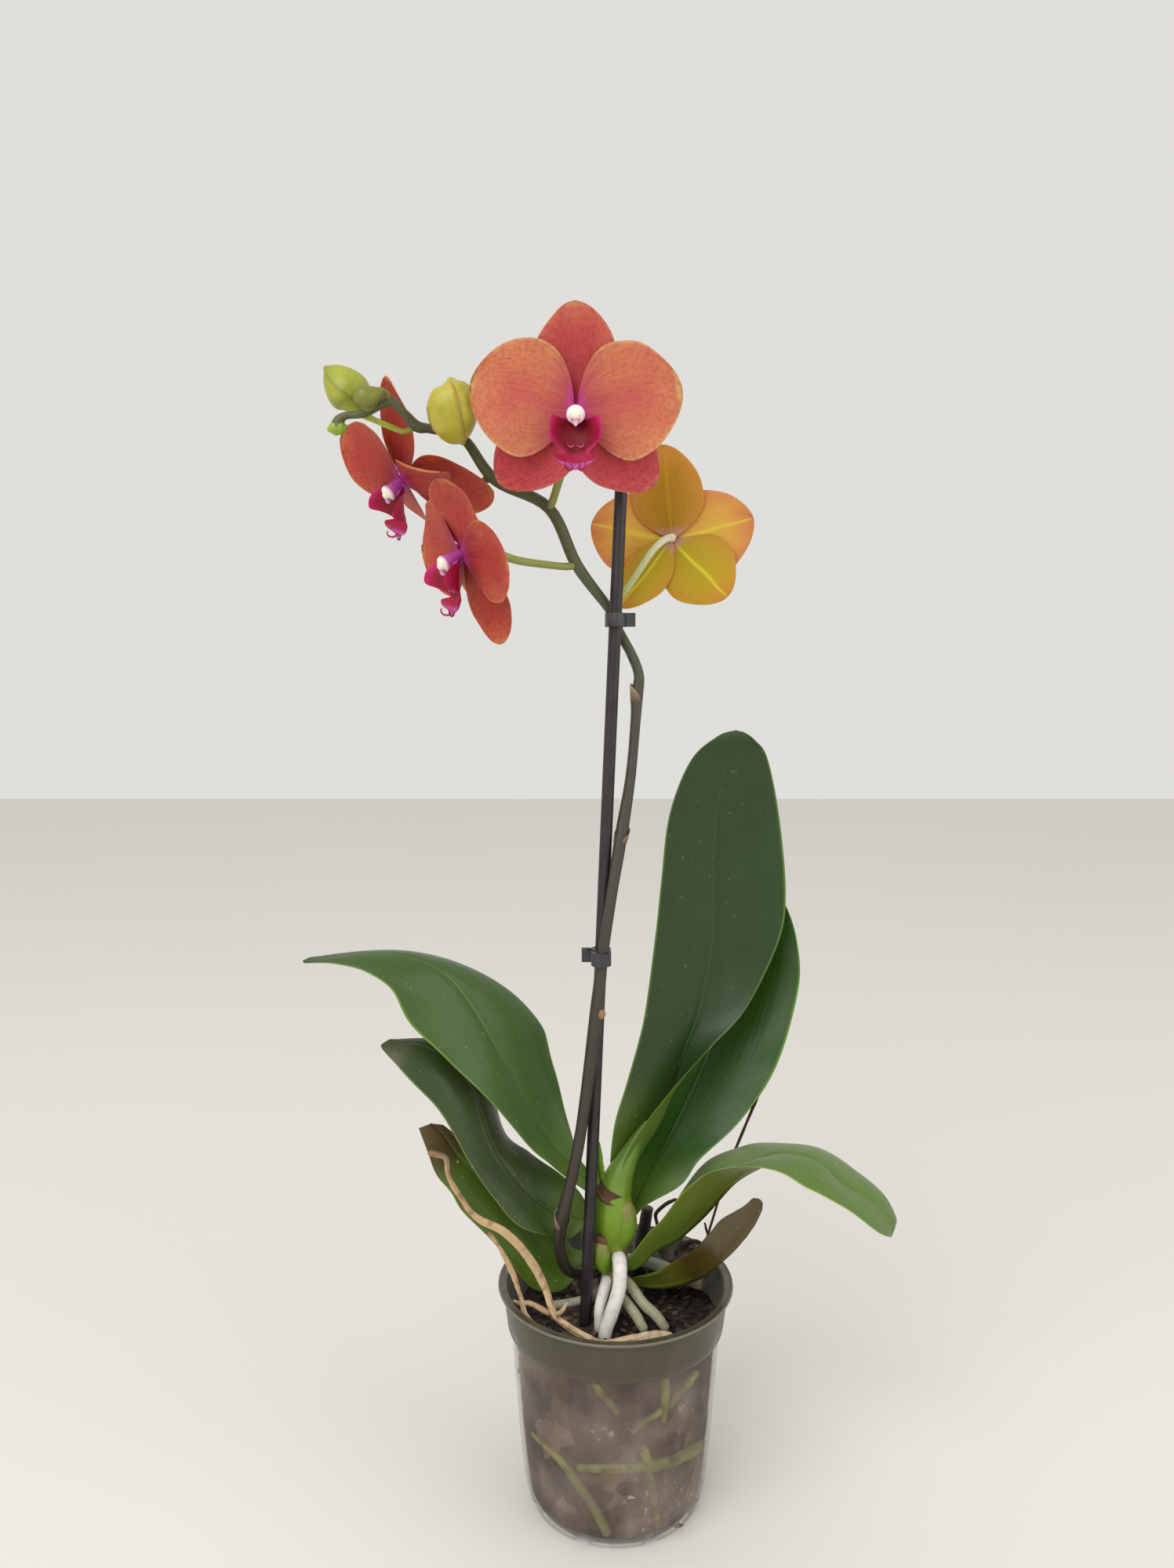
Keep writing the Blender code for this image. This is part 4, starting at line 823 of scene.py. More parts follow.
def rind_skin(name):
    """Stem, root, stalk or wax, from its row of RINDS: colour changes along it, under flecks and relief."""
    stops, rough, bump, fleck, flecks, scale, coat = RINDS[name]
    mat, tree, shader = start(name, rough, Coat_Weight=coat, Coat_Roughness=0.3)
    along = add(tree, "Attribute", out="Fac", attribute_name="along")
    place = add(tree, "TexCoord", out="Object")
    coarse = add(tree, "TexNoise", {"Vector": place, "Scale": scale, "Detail": 4.0})
    cloud = add(tree, "TexNoise", {"Vector": place, "Scale": 70.0, "Detail": 3.0})
    body = add(tree, "ValToRGB", {0: unsettle(tree, along, cloud, 0.09)}, stops=stops)
    body = paint(tree, body, [(EVEN, coarse, 0.5, 0.72, 0.0, flecks, fleck)])
    wire(tree, shader, Base_Color=body,
         Roughness=add(tree, "MapRange", {0: coarse, 3: rough - 0.1, 4: rough + 0.12}),
         Normal=add(tree, "Bump", {"Height": coarse, "Distance": bump, "Strength": 0.8}))
    return mat


def bud_skin(name, pale, mid, blush):
    """Closed bud: waxy green skin, yellower where it swells, browned along the sepals' edges."""
    mat, tree, shader = start(name, 0.42, Subsurface_Weight=0.12, Subsurface_Scale=0.004,
                              Coat_Weight=0.1, Coat_Roughness=0.35)
    along, across, behind, place = surface(tree)
    # share of a sepal's width, from one overlap to the next, winding up the bud
    turn = add(tree, "Math", {0: add(tree, "Math", {0: behind, 1: across}, operation="ARCTAN2"),
                              1: SEPALS / math.tau}, operation="MULTIPLY")
    lap = add(tree, "Math", {0: with_share(tree, turn, along, SEPAL_SWIRL)}, operation="FRACT")
    streaks = add(tree, "CombineXYZ", {0: add(tree, "Math", {0: across, 1: 7.0}, operation="MULTIPLY"),
                                       1: add(tree, "Math", {0: behind, 1: 7.0}, operation="MULTIPLY"),
                                       2: along})
    lines = add(tree, "TexNoise", {"Vector": streaks, "Scale": 1.6, "Detail": 3.0})
    cloud = add(tree, "TexNoise", {"Vector": place, "Scale": 110.0, "Detail": 3.0})
    body = add(tree, "Mix", {0: add(tree, "MapRange", {0: cloud, 1: 0.35, 2: 0.65}), 6: linear(mid),
                             7: linear(pale)}, **MIX)
    body = paint(tree, body, [
        (EVEN, lines, 0.5, 0.7, 0.0, 0.25, mid),
        (SMOOTH, lap, 0.86, 0.99, 0.0, 0.7, blush),
        (SMOOTH, along, 0.1, 0.35, 0.45, 0.0, mid),
    ])
    fine = add(tree, "TexNoise", {"Vector": place, "Scale": 500.0, "Detail": 2.0})
    wire(tree, shader, Base_Color=body,
         Normal=add(tree, "Bump", {"Height": fine, "Distance": 0.0001, "Strength": 0.4}))
    return mat


def bark_skin(name, colours, bump, chip_scale=130.0, grain=520.0):
    """Composted pine bark: crumbly and matt, dark when wet, with pale dry splinters."""
    mat, tree, shader = start(name, 0.9)
    place = add(tree, "TexCoord", out="Object")
    warp = add(tree, "TexNoise", {"Vector": place, "Scale": 90.0, "Detail": 3.0}, out="Color")
    bent = add(tree, "Mix", {0: 0.012, 6: place, 7: warp}, blend_type="ADD", **MIX)
    chips = add(tree, "TexVoronoi", {"Vector": bent, "Scale": chip_scale}, out="Color")
    tone = add(tree, "SeparateColor", {0: chips})
    fibre = add(tree, "TexNoise", {"Vector": place, "Scale": grain, "Detail": 5.0})
    cloud = add(tree, "TexNoise", {"Vector": place, "Scale": 45.0, "Detail": 5.0})
    pick = add(tree, "Math", {0: tone, 1: cloud}, operation="MULTIPLY")
    body = add(tree, "ValToRGB", {0: pick}, stops=list(zip((0.05, 0.25, 0.42, 0.62), colours)))
    body = paint(tree, body, [(EVEN, fibre, 0.35, 0.7, 0.5, 0.0, colours[0])])
    height = add(tree, "Math", {0: fibre, 1: tone}, operation="ADD")
    wire(tree, shader, Base_Color=body,
         Normal=add(tree, "Bump", {"Height": height, "Distance": bump, "Strength": 0.9}))
    return mat


def pot_skin(name, settings):
    """Clear polypropylene, injection moulded: cloudy, so what is behind it shows soft and greyed.
    The band under the rim is frosted and olive and the thick foot is pale; the thin pale lines along the
    flange's outer edge and inner lip are painted highlights."""
    mat, tree, shader = start(name, 0.2, IOR=1.49)
    place = add(tree, "TexCoord", out="Object")
    height = add(tree, "SeparateXYZ", {0: place}, out=2)
    level = add(tree, "VectorMath", {0: place, 1: (1.0, 1.0, 0.0)}, operation="MULTIPLY")
    radius = add(tree, "VectorMath", {0: level}, out="Value", operation="LENGTH")
    haze = add(tree, "TexNoise", {"Vector": place, "Scale": 30.0, "Detail": 3.0})
    drawn = add(tree, "Mapping", {0: place, 3: (1.0, 1.0, 0.12)})
    rubs = add(tree, "TexNoise", {"Vector": drawn, "Scale": 160.0, "Detail": 3.0})
    top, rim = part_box("pot")[1][2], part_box("pot")[1][0]
    in_band = add(tree, "MapRange", {0: height, 1: top - 0.0240, 2: top - 0.0232})
    in_rim = add(tree, "MapRange", {0: height, 1: top - 0.0022, 2: top - 0.0016})
    # painted highlights: a thin pale line at the flange's outer edge and another down its inner lip, near
    # the top
    at_edge = add(tree, "MapRange", {0: radius, 1: rim - 0.0009, 2: rim - 0.0004})
    at_lip = add(tree, "MapRange", {0: radius, 1: rim - 0.0044, 2: rim - 0.0038, 3: 1.0, 4: 0.0})
    pale = add(tree, "Math", {0: add(tree, "Math", {0: at_edge, 1: at_lip}, operation="MAXIMUM"),
                              1: in_rim}, operation="MULTIPLY")
    body = add(tree, "Mix", {0: add(tree, "MapRange", {0: haze, 1: 0.35, 2: 0.65}), 6: linear("#78675C"),
                             7: linear("#A09084")}, **MIX)
    band = add(tree, "Mix", {0: haze, 6: linear("#3F3A2B"), 7: linear("#5A5440")}, **MIX)
    body = add(tree, "Mix", {0: in_band, 6: body, 7: band}, **MIX)
    body = add(tree, "Mix", {0: in_rim, 6: body, 7: linear("#4E4839")}, **MIX)
    # the painted highlight lines on the flange's edges
    body = add(tree, "Mix", {0: pale, 6: body, 7: linear("#76715E")}, **MIX)
    body = paint(tree, body, [(SMOOTH, height, 0.002, 0.011, 1.0, 0.0, "#8A8A7E")])
    veil = add(tree, "MapRange", {0: haze, 1: 0.3, 2: 0.7, 3: settings.haze * 0.6, 4: settings.haze * 1.4})
    crust = add(tree, "TexNoise", {"Vector": place, "Scale": 230.0, "Detail": 5.0})
    patchy = add(tree, "MapRange", {0: haze, 1: 0.5, 2: 0.7, 3: -0.1, 4: 0.06})
    crust = add(tree, "Math", {0: crust, 1: patchy}, operation="ADD")
    for mask, low, high, most in ((rubs, 0.55, 0.75, 0.12), (crust, 0.6, 0.68, 0.5)):
        more = add(tree, "MapRange", {0: mask, 1: low, 2: high, 3: 0.0, 4: most})
        veil = add(tree, "Math", {0: veil, 1: more}, operation="ADD", use_clamp=True)
    frost = add(tree, "MapRange", {0: rubs, 1: 0.3, 2: 0.7, 3: 0.76, 4: 0.88})
    veil = add(tree, "Mix", {0: in_band, 2: veil, 3: frost}, out=0, data_type="FLOAT")
    veil = add(tree, "Mix", {0: pale, 2: veil, 3: 0.85}, out=0, data_type="FLOAT")
    wire(tree, shader, Base_Color=body, Alpha=veil,
         Roughness=add(tree, "MapRange", {0: haze, 3: 0.16, 4: 0.3}),
         Normal=add(tree, "Bump", {"Height": haze, "Distance": 0.0004, "Strength": 0.2}))
    return mat


def moulded_skin(name, colour, light, rough):
    """Dark moulded plastic: faint lengthwise drawing lines under a film of paler dust."""
    mat, tree, shader = start(name, rough, IOR=1.5)
    place = add(tree, "TexCoord", out="Object")
    drawn = add(tree, "Mapping", {0: place, 3: (1.0, 1.0, 0.05)})
    lines = add(tree, "TexNoise", {"Vector": drawn, "Scale": 900.0, "Detail": 2.0})
    cloud = add(tree, "TexNoise", {"Vector": place, "Scale": 90.0, "Detail": 4.0})
    body = add(tree, "Mix", {0: add(tree, "MapRange", {0: cloud, 1: 0.35, 2: 0.75}), 6: linear(colour),
                             7: linear(light)}, **MIX)
    wire(tree, shader, Base_Color=body,
         Roughness=add(tree, "MapRange", {0: cloud, 3: rough - 0.08, 4: rough + 0.12}),
         Normal=add(tree, "Bump", {"Height": lines, "Distance": 0.0001, "Strength": 0.5}))
    return mat


# ---------------------------------------------------------------- shapes


def leaf_piece(name, settings):
    """One leaf: two halves folded along a grooved midrib, with softly waved edges."""
    rails = [spline([row[k] for row in LEAVES[name]], 8) for k in range(3)]
    last = len(rails[0]) - 1
    side = 1 if name in FACES_UP else -1
    seed = sorted(LEAVES).index(name) + 1
    spans = [(rails[2][i] - rails[0][i]).length for i in range(last + 1)]
    widest = max(spans)
    thickness = settings.thickness / MM
    midrib = settings.midrib / MM
    edge_wave = settings.edge_wave / MM

    def place(t, a):
        at = min(t * last, last - 1e-6)
        i = int(at)
        left, mid, right = (rail[i].lerp(rail[i + 1], at - i) for rail in rails)
        folded = mid.lerp(right if a > 0 else left, abs(a))
        curved = mid + (right - left) * (a / 2) + ((left + right) / 2 - mid) * a * a
        out = folded.lerp(curved, 0.3)
        along = rails[1][i + 1] - rails[1][i]
        up = along.cross(right - left).normalized() * side
        span = (right - left).length
        fat = span / widest
        puff = 1.5 * fat * 4 * abs(a) * (1 - abs(a)) - midrib * math.exp(-(a / 0.06) ** 2) * fat
        wave = edge_wave * fat * a * a * ripple(seed, t * 7, a * 0.8)
        wave += 0.5 * fat * ripple(seed + 20, t * 16, a * 2.4)
        return out + up * (puff + wave)

    def thick(t, a):
        at = min(round(t * last), last)
        room = 0.30 * min((rails[1][at] - rails[0][at]).length, (rails[2][at] - rails[1][at]).length)
        full = thickness * (1 - 0.55 * abs(a)) + 0.5 * math.exp(-(a / 0.1) ** 2)
        return max(min(full, room), 0.5)

    bm = bmesh.new()
    lay_blade(bm, place, *LEAF_GRID, thick, side)
    return piece(bm, name + "_blade", [leaf_skin(name + "_cuticle", *LEAF_LOOKS[name])], [name])


def flower_frame(spec):
    """Matrix placing a flower: x right, y to the top sepal, z out of the face."""
    z = Vector(spec["face"]).normalized()
    x = Vector((0, 0, 1)).cross(z).normalized()
    y = z.cross(x)
    turned = Matrix((x, y, z)).transposed() @ Matrix.Rotation(math.radians(spec["roll"]), 3, "Z")
    return Matrix.Translation(Vector(spec["at"])) @ turned.to_4x4() @ Matrix.Scale(spec["size"], 4)


def tepal_piece(flower, part, frame_of, settings, mat, seed):
    """One sepal or petal, crowned across and rippled at its rim."""
    row = TEPAL_CHANGES.get(flower + "_" + part, TEPALS[part])
    length, width, angle, lift, slope, bend, cup, twist = row
    bearing = math.radians(angle)
    along = Vector((math.cos(bearing), math.sin(bearing), 0))
    across = Vector((-math.sin(bearing), math.cos(bearing), 0))
    frill = settings.ripple / MM * (1.3 if "petal" in part else 0.8)

    def place(t, a):
        swell = max(math.sin(math.pi * t ** 0.85), 0.0)
        foot_fill = 0.76 if width > length else 0.88
        half = width / 2 * swell ** (foot_fill if t < 0.44 else 0.54)
        if t < 0.3:
            half = max(half, 4.5 * ease(t, -0.06, 0.06))
        half *= 1 + 0.05 * ripple(seed + 13, t * 4, a) * ease(t, 0.1, 0.5)
        turn = math.radians(twist) * t
        crown = cup * a * a * math.sin(math.pi * t)
        rib = -0.7 * math.exp(-(a / 0.08) ** 2) * ease(t, 0.0, 0.12) * (1 - t)
        wave = frill * (a * a * ripple(seed, 3.2 * t + a, 1.7 * a) * ease(t, 0.15, 0.6)
                        + 0.5 * ease(t, 0.6, 1.0) * ripple(seed + 5, a * 2.2, 3.0))
        wave += 0.25 * ripple(seed + 9, t * 6, a * 3.5)
        rise = lift + length * (slope * t + bend * t * t) + crown + rib + wave
        out = along * (TEPAL_START + (length + TEPAL_EXTRA) * t)
        out += across * (half * a * math.cos(turn) + 0.5 * ripple(seed + 3, t * 3))
        return frame_of @ (out + Vector((0, 0, rise + half * a * math.sin(turn))))

    def thick(t, a):
        return settings.tepal_thickness / MM * (1.15 - 0.6 * max(abs(a), t) ** 2)

    bm = bmesh.new()
    lay_blade(bm, place, *TEPAL_GRID, thick, spread=1.7)
    return piece(bm, f"{flower}_{part}_blade", [mat], [f"{flower}_{part}"])


def lip_piece(flower, frame_of, flesh, callus):
    """Three-lobed lip: two side lobes curling in round a dark throat, a callus between them, and an
    anchor-shaped middle lobe that ends in two curled tendrils."""
    rows = [tuple(v) for v in spline([Vector(r) for r in LIP], 4)]
    last = len(rows) - 1

    def place(t, a):
        at = min(t * last, last - 1e-6)
        i = int(at)
        y, z, half, radius = (p + (q - p) * (at - i) for p, q in zip(rows[i], rows[i + 1]))
        arc = half * a / radius
        lobe = ease(t, 0.04, 0.16) * (1 - ease(t, 0.5, 0.62))
        tail = ease(t, 0.62, 0.8)
        x = radius * math.sin(arc) * (1 + 0.22 * lobe * a * a)
        y += lobe * (4.0 * a * a) + tail * 2.6 * abs(a) ** 2.5
        z += radius * (1 - math.cos(arc)) + 0.4 * ripple(4, t * 9, a * 3)
        return frame_of @ Vector((x, y, z))

    bm = bmesh.new()
    lay_blade(bm, place, *LIP_GRID, lambda t, a: 1.0 - 0.4 * abs(a))
    for s in (-1, 1):
        curl = [(s * 1.0, -22.6, 13.6, 0.6), (s * 2.4, -23.6, 15.4, 0.5), (s * 3.8, -22.6, 17.0, 0.42),
                (s * 4.2, -20.8, 17.2, 0.34), (s * 3.6, -19.8, 16.6, 0.24)]
        lay_tube(bm, curl, 8, 4, place=frame_of)
    piece(bm, flower + "_lip_lobes", [flesh], [flower + "_lip"])
    bm = bmesh.new()
    for s in (-1, 1):
        ridge = [(s * 3.6, -12.9, 10.8, 0.2), (s * 2.8, -14.0, 10.8, 0.35), (s * 1.7, -14.2, 10.9, 0.4),
                 (s * 0.6, -13.4, 10.9, 0.3)]
        lay_tube(bm, ridge, 10, 5, place=frame_of)
    piece(bm, flower + "_callus", [callus])


def column_piece(flower, frame_of, wax, pollen_cap):
    """Column over the lip, ending in the white anther cap with its small cream beak."""
    bm = bmesh.new()
    lay_tube(bm, COLUMN, 24, 6, shape=lambda turn, t: 1 - 0.10 * ease(t, 0.3, 0.6)
             * max(0.0, math.cos(2 * turn)), place=frame_of)
    for s in (-1, 1):
        wing = [(s * 1.8, -1.6, 4.0, 0.8), (s * 2.6, -2.6, 6.6, 1.2), (s * 2.4, -3.4, 8.6, 0.8)]
        lay_tube(bm, wing, 10, 4, place=frame_of)
    piece(bm, flower + "_column_rod", [wax], [flower + "_column"])
    bm = bmesh.new()
    lay_tube(bm, ANTHER, 24, 6, place=frame_of)
    beak = [(0, -2.8, 11.0, 2.0), (0, -4.2, 12.0, 1.6), (0, -5.2, 12.1, 1.0), (0, -5.8, 11.8, 0.4)]
    lay_tube(bm, beak, 14, 4, place=frame_of)
    piece(bm, flower + "_anther_cap", [pollen_cap])


def sheath(bm, centre, direction, radius, height, lean=0.0):
    """Dry papery bract clasping a node of the flower spike, open on one side."""
    axis = Vector(direction).normalized()
    side = axis.orthogonal().normalized()
    side = Matrix.Rotation(lean, 3, axis) @ side
    other = axis.cross(side)

    def place(t, a):
        turn = a * (2.6 - 2.2 * t * t)
        r = radius * (1.0 + 0.28 * t)
        return Vector(centre) + axis * (height * t) + (side * math.cos(turn) + other * math.sin(turn)) * r
    lay_blade(bm, place, 10, 16, lambda t, a: 0.45, -1)


def inside_of_wall(z):
    """Radius of the clear wall's inner face at a height."""
    return 45.4 + (z - 10) * 0.105 if z < WALL_BEND else 48.0 + (z - WALL_BEND) * 0.069


def chip(bm, at, size, seed):
    """One splinter of bark: a bevelled block pulled out of square."""
    made = bmesh.ops.create_cube(bm, size=1.0)["verts"]
    edges = list({e for v in made for e in v.link_edges})
    made = bmesh.ops.bevel(bm, geom=edges, offset=0.16, affect="EDGES", segments=1, profile=0.5,
                           material=-1)["verts"]
    turn = (Matrix.Rotation(seed * 2.399, 3, "Z") @ Matrix.Rotation(math.sin(seed * 5.1) * 0.5, 3, "X")
            @ Matrix.Rotation(math.cos(seed * 3.7) * 0.35, 3, "Y"))
    for vert in made:
        x, y, z = vert.co
        jolt = Vector((ripple(seed, x * 2, y), ripple(seed + 1, y * 2, z), ripple(seed + 2, z * 2, x)))
        co = vert.co + jolt * 0.35
        vert.co = Vector(at) + turn @ Vector((co.x * size[0], co.y * size[1], co.z * size[2]))


def lump(bm, at, size, seed, rough=0.3):
    """Rounded clod of moss or bark."""
    made = bmesh.ops.create_icosphere(bm, subdivisions=4, radius=1.0)["verts"]
    for vert in made:
        co = vert.co.copy()
        swell = 1 + rough * noise.fractal(co * 1.6 + Vector((seed, 0, 0)), 0.8, 2.1, 4)
        vert.co = Vector(at) + Vector((co.x * size[0], co.y * size[1], co.z * size[2])) * swell


# ---------------------------------------------------------------- settings


def colour(code, name, words):
    """Colour property with an sRGB hex default."""
    return bpy.props.FloatVectorProperty(name=name, description=words, subtype="COLOR", size=4,
                                         min=0, max=1, default=linear(code))


def length(name, words, default):
    """Length property in Blender's metres, with its default given in mm."""
    return bpy.props.FloatProperty(name=name, description=words, default=default * MM, min=0.0, max=0.1,
                                   precision=4, subtype="DISTANCE", unit="LENGTH")


class OrchidLeafSettings(bpy.types.PropertyGroup):
    thickness: length("Thickness", "Thickness of a leaf beside its midrib", 2.0)
    midrib: length("Midrib groove", "Depth of the groove along a leaf", 0.9)
    edge_wave: length("Edge wave", "Height of the waves along a leaf's edge", 1.9)


class OrchidFlowerSettings(bpy.types.PropertyGroup):
    tepal_thickness: length("Thickness", "Thickness of a petal", 0.8)
    ripple: length("Ripple", "Height of the ripples at a petal's rim", 1.3)


class OrchidPotSettings(bpy.types.PropertyGroup):
    haze: bpy.props.FloatProperty(name="Haze", description="How cloudy each face of the clear wall is",
                                  default=0.26, min=0.0, max=1.0, subtype="FACTOR")
    segments: bpy.props.IntProperty(name="Segments", description="Sides of the turned wall",
                                    default=144, min=24)
    chips: bpy.props.IntProperty(name="Bark chips", description="Loose chips on the medium",
                                 default=240, min=0)


class OrchidStageSettings(bpy.types.PropertyGroup):
    floor: colour("#E6E4DF", "Floor", "Colour of the plain floor")
    key_power: bpy.props.FloatProperty(name="Key power", description="Power of the large soft light",
                                       default=22.0, min=0.0, unit="POWER")
    room_light: bpy.props.FloatProperty(name="Room light", default=0.92, min=0.0,
                                        description="Strength of the even light from all sides")


# ---------------------------------------------------------------- operators


class ORCHID_OT_pot(bpy.types.Operator):
    """Clear tapered pot with a frosted band, a flanged rim and drain holes at its foot"""
    bl_idname = "orchid.pot"
    bl_label = "Pot"

    def execute(self, context):
        settings = context.scene.orchid_pot
        h, r = (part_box("pot")[1][2] / MM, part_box("pot")[1][0] / MM)
        step = h - BAND
        profile = [(0.001, 0.9), (30, 0.9), (39.6, 0.7), (40.4, 0), (42.3, 0), (43.6, 0.7), (44.6, 2.4),
                   (44.9, 4.2), (44.6, 4.7), (44.9, 5.2), (45.6, 7.6), (46.5, 10), (48.1, 23),
                   (49.5, 38), (50.3, 49), (51.0, 60), (51.8, 70), (52.4, 80), (52.8, step - 2),
                   (53.0, step), (53.5, step + 0.2), (54.7, step + 1.0), (55.0, step + 1.7)]
        for k in range(BAND_RIBS + 1):
            z = step + 3 + (h - 5 - step - 3) * k / BAND_RIBS
            base = 55 + 2.2 * (z - step - 1.5) / (h - 3 - step - 1.5)
            profile += [(base, z), (base + 0.16, z + 0.45), (base, z + 0.9)]
        profile += [(57.2, h - 3.3), (57.6, h - 2.0), (58.2, h - 1.6), (r - 0.8, h - 1.5),
                    (r - 0.2, h - 1.3), (r, h - 0.8), (r - 0.2, h - 0.2), (r - 0.7, h), (r - 1.2, h - 0.3),
                    (r - 3.4, h - 0.3), (r - 3.8, h - 0.1), (r - 4.2, h - 0.3), (r - 4.6, h - 1.4),
                    (55.7, h - 3.4), (53.6, step + 3.2), (53.3, step + 2.5), (51.6, step + 1.3),
                    (51.3, step - 1), (50.9, 80), (49.5, 60), (48.0, 38), (45.2, 10.5), (43.4, 4.6),
                    (41.8, 3.7), (0.001, 2.2)]
        bm = bmesh.new()
        lay_turned(bm, profile, settings.segments)
        pot = piece(bm, "pot_wall", [pot_skin("clear_polypropylene", settings)], ["pot"])
        bm = bmesh.new()
        for n in range(DRAIN_HOLES):
            turn = 2 * math.pi * (n + 0.5) / DRAIN_HOLES
            made = bmesh.ops.create_cone(bm, cap_ends=True, segments=24, radius1=DRAIN_RADIUS,
                                         radius2=DRAIN_RADIUS, depth=14)
            spot = (Matrix.Rotation(turn, 4, "Z") @ Matrix.Translation((43.5, 0, 1.0))
                    @ Matrix.Rotation(math.pi / 2, 4, "Y"))
            bmesh.ops.transform(bm, matrix=spot, verts=made["verts"])
        bmesh.ops.scale(bm, vec=(MM, MM, MM), verts=bm.verts)
        mesh = bpy.data.meshes.new("drain_cutter")
        bm.to_mesh(mesh)
        bm.free()
        cutter = bpy.data.objects.new("drain_cutter", mesh)
        context.scene.collection.objects.link(cutter)
        holes = pot.modifiers.new("drain_holes", "BOOLEAN")
        holes.operation, holes.object, holes.solver = "DIFFERENCE", cutter, "EXACT"
        context.view_layer.update()
        cut = bpy.data.meshes.new_from_object(pot.evaluated_get(context.evaluated_depsgraph_get()))
        pot.modifiers.clear()
        pot.data = cut
        bpy.data.objects.remove(cutter)
        return {"FINISHED"}


class ORCHID_OT_medium(bpy.types.Operator):
    """Bark medium with loose chips on top, and the roots that press against the clear wall"""
    bl_idname = "orchid.medium"
    bl_label = "Bark medium"

    def execute(self, context):
        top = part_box("potting_medium")[1][2] / MM
        wall = [(43.6, 5.5), (44.6, 12), (46.0, 24), (47.4, 38), (48.2, 49), (48.8, 60), (49.6, 71),
                (50.2, 80), (50.6, top - 8), (51.0, top - 5), (52.0, top - 3.6), (52.6, top - 2.4)]
        wall = [tuple(v) for v in spline([Vector(p) for p in wall], 5)]
        rings = [(0.001, 4.0), (20, 4.0), (36, 4.2)] + wall
        rings += [(52.6 - 2.1 * k, top - 1.6 - 1.4 * math.sin(k / 24 * math.pi)) for k in range(1, 25)]
        rings.append((0.001, top - 1.6))
        bm = bmesh.new()
        lay_turned(bm, rings, 150)
        for vert in bm.verts:
            co = vert.co
            if co.z > top - 3.2:
                rough = noise.fractal(co * 0.16, 0.7, 2.1, 5)
                vert.co.z += 1.3 * rough - 0.4
            elif co.z > 6:
                flat = co.xy.normalized() * 0.9 * noise.fractal(co * 0.2, 0.7, 2.2, 4)
                vert.co.x -= abs(flat.x) * (1 if co.x > 0 else -1)
                vert.co.y -= abs(flat.y) * (1 if co.y > 0 else -1)
        # wet bark behind the wall: nearly black in coarse blocks, with few pale splinters
        dark = bark_skin("wet_pine_bark", ("#16110F", "#2E2420", "#5A463B", "#9A8470"), 0.0002, 75.0, 170.0)
        piece(bm, "bark_bed", [dark], ["potting_medium"])

        bm = bmesh.new()
        count = context.scene.orchid_pot.chips
        for n in range(count):
            turn, reach = n * GOLDEN_TURN, CHIP_SPREAD * math.sqrt((n + 0.5) / count)
            x, y = reach * math.cos(turn), reach * math.sin(turn)
            if any(math.hypot(x - at_x, y - at_y) < room for at_x, at_y, room in CLEAR_OF):
                continue
            size = [least + more * abs(ripple(n, at))
                    for least, more, at in ((3.0, 2.6, 1.3), (1.8, 1.6, 2.7), (1.0, 0.7, 3.9))]
            chip(bm, (x, y, top - 1.9 + 0.8 * ripple(n, 5.1)), size, n)
        # loose chips on top: drier, browner and crisper
        pale = bark_skin("loose_bark_chips", ("#201A16", "#413329", "#6C5442", "#B08F6D"), 0.0006)
        piece(bm, "bark_chips", [pale], smooth=False)

        bm = bmesh.new()
        for n, rows in enumerate(WALL_ROOTS):
            path = []
            for turn, z, radius in rows:
                inner = inside_of_wall(z) - radius * (0.62 + 0.3 * ripple(n, z * 0.11))
                a = math.radians(turn)
                path.append((inner * math.cos(a), inner * math.sin(a), z, radius))
            lay_tube(bm, path, 16, 8, lambda turn, t: (1 + 0.16 * ripple(n, t * 7, math.cos(turn))
                                                       + 0.08 * ripple(n + 3, t * 23, math.sin(turn))))
        green = rind_skin("wet_root_velamen")
        piece(bm, "roots_at_wall", [green])

        bm = bmesh.new()
        for n, (at, size) in enumerate(WALL_CRUMBS):
            a = math.radians(at[0])
            lump(bm, (CRUMB_RADIUS * math.cos(a), CRUMB_RADIUS * math.sin(a), at[1]), size, n + 3.0, 0.5)
        # dry moss against the wall: pale grey crumbs
        crumbs = bark_skin("pale_moss_crumbs", ("#5A5148", "#8B8175", "#B4AB9F", "#D0CAC0"), 0.0004)
        piece(bm, "crumbs_at_wall", [crumbs])
        return {"FINISHED"}


class ORCHID_OT_litter(bpy.types.Operator):
    """Moss clods, thin dead roots and twigs lying behind the stem"""
    bl_idname = "orchid.litter"
    bl_label = "Litter"

    def execute(self, context):
        bm = bmesh.new()
        for n, (at, size) in enumerate(CLODS):
            lump(bm, at, size, n * 3.7, 0.42)
        # dry moss in clods: grey and deeply pitted
        clod = bark_skin("grey_moss_clods", ("#4B463E", "#6F6A5E", "#938E80", "#B3AD9E"), 0.0012)
        piece(bm, "moss_clods", [clod])
        bm = bmesh.new()
        for n, path in enumerate(TWIGS):
            lay_tube(bm, path, 9, 6, uneven(n, 0.22, 12, 2))
        twig = rind_skin("dead_root_bark")
        piece(bm, "thin_dead_roots", [twig])
        return {"FINISHED"}


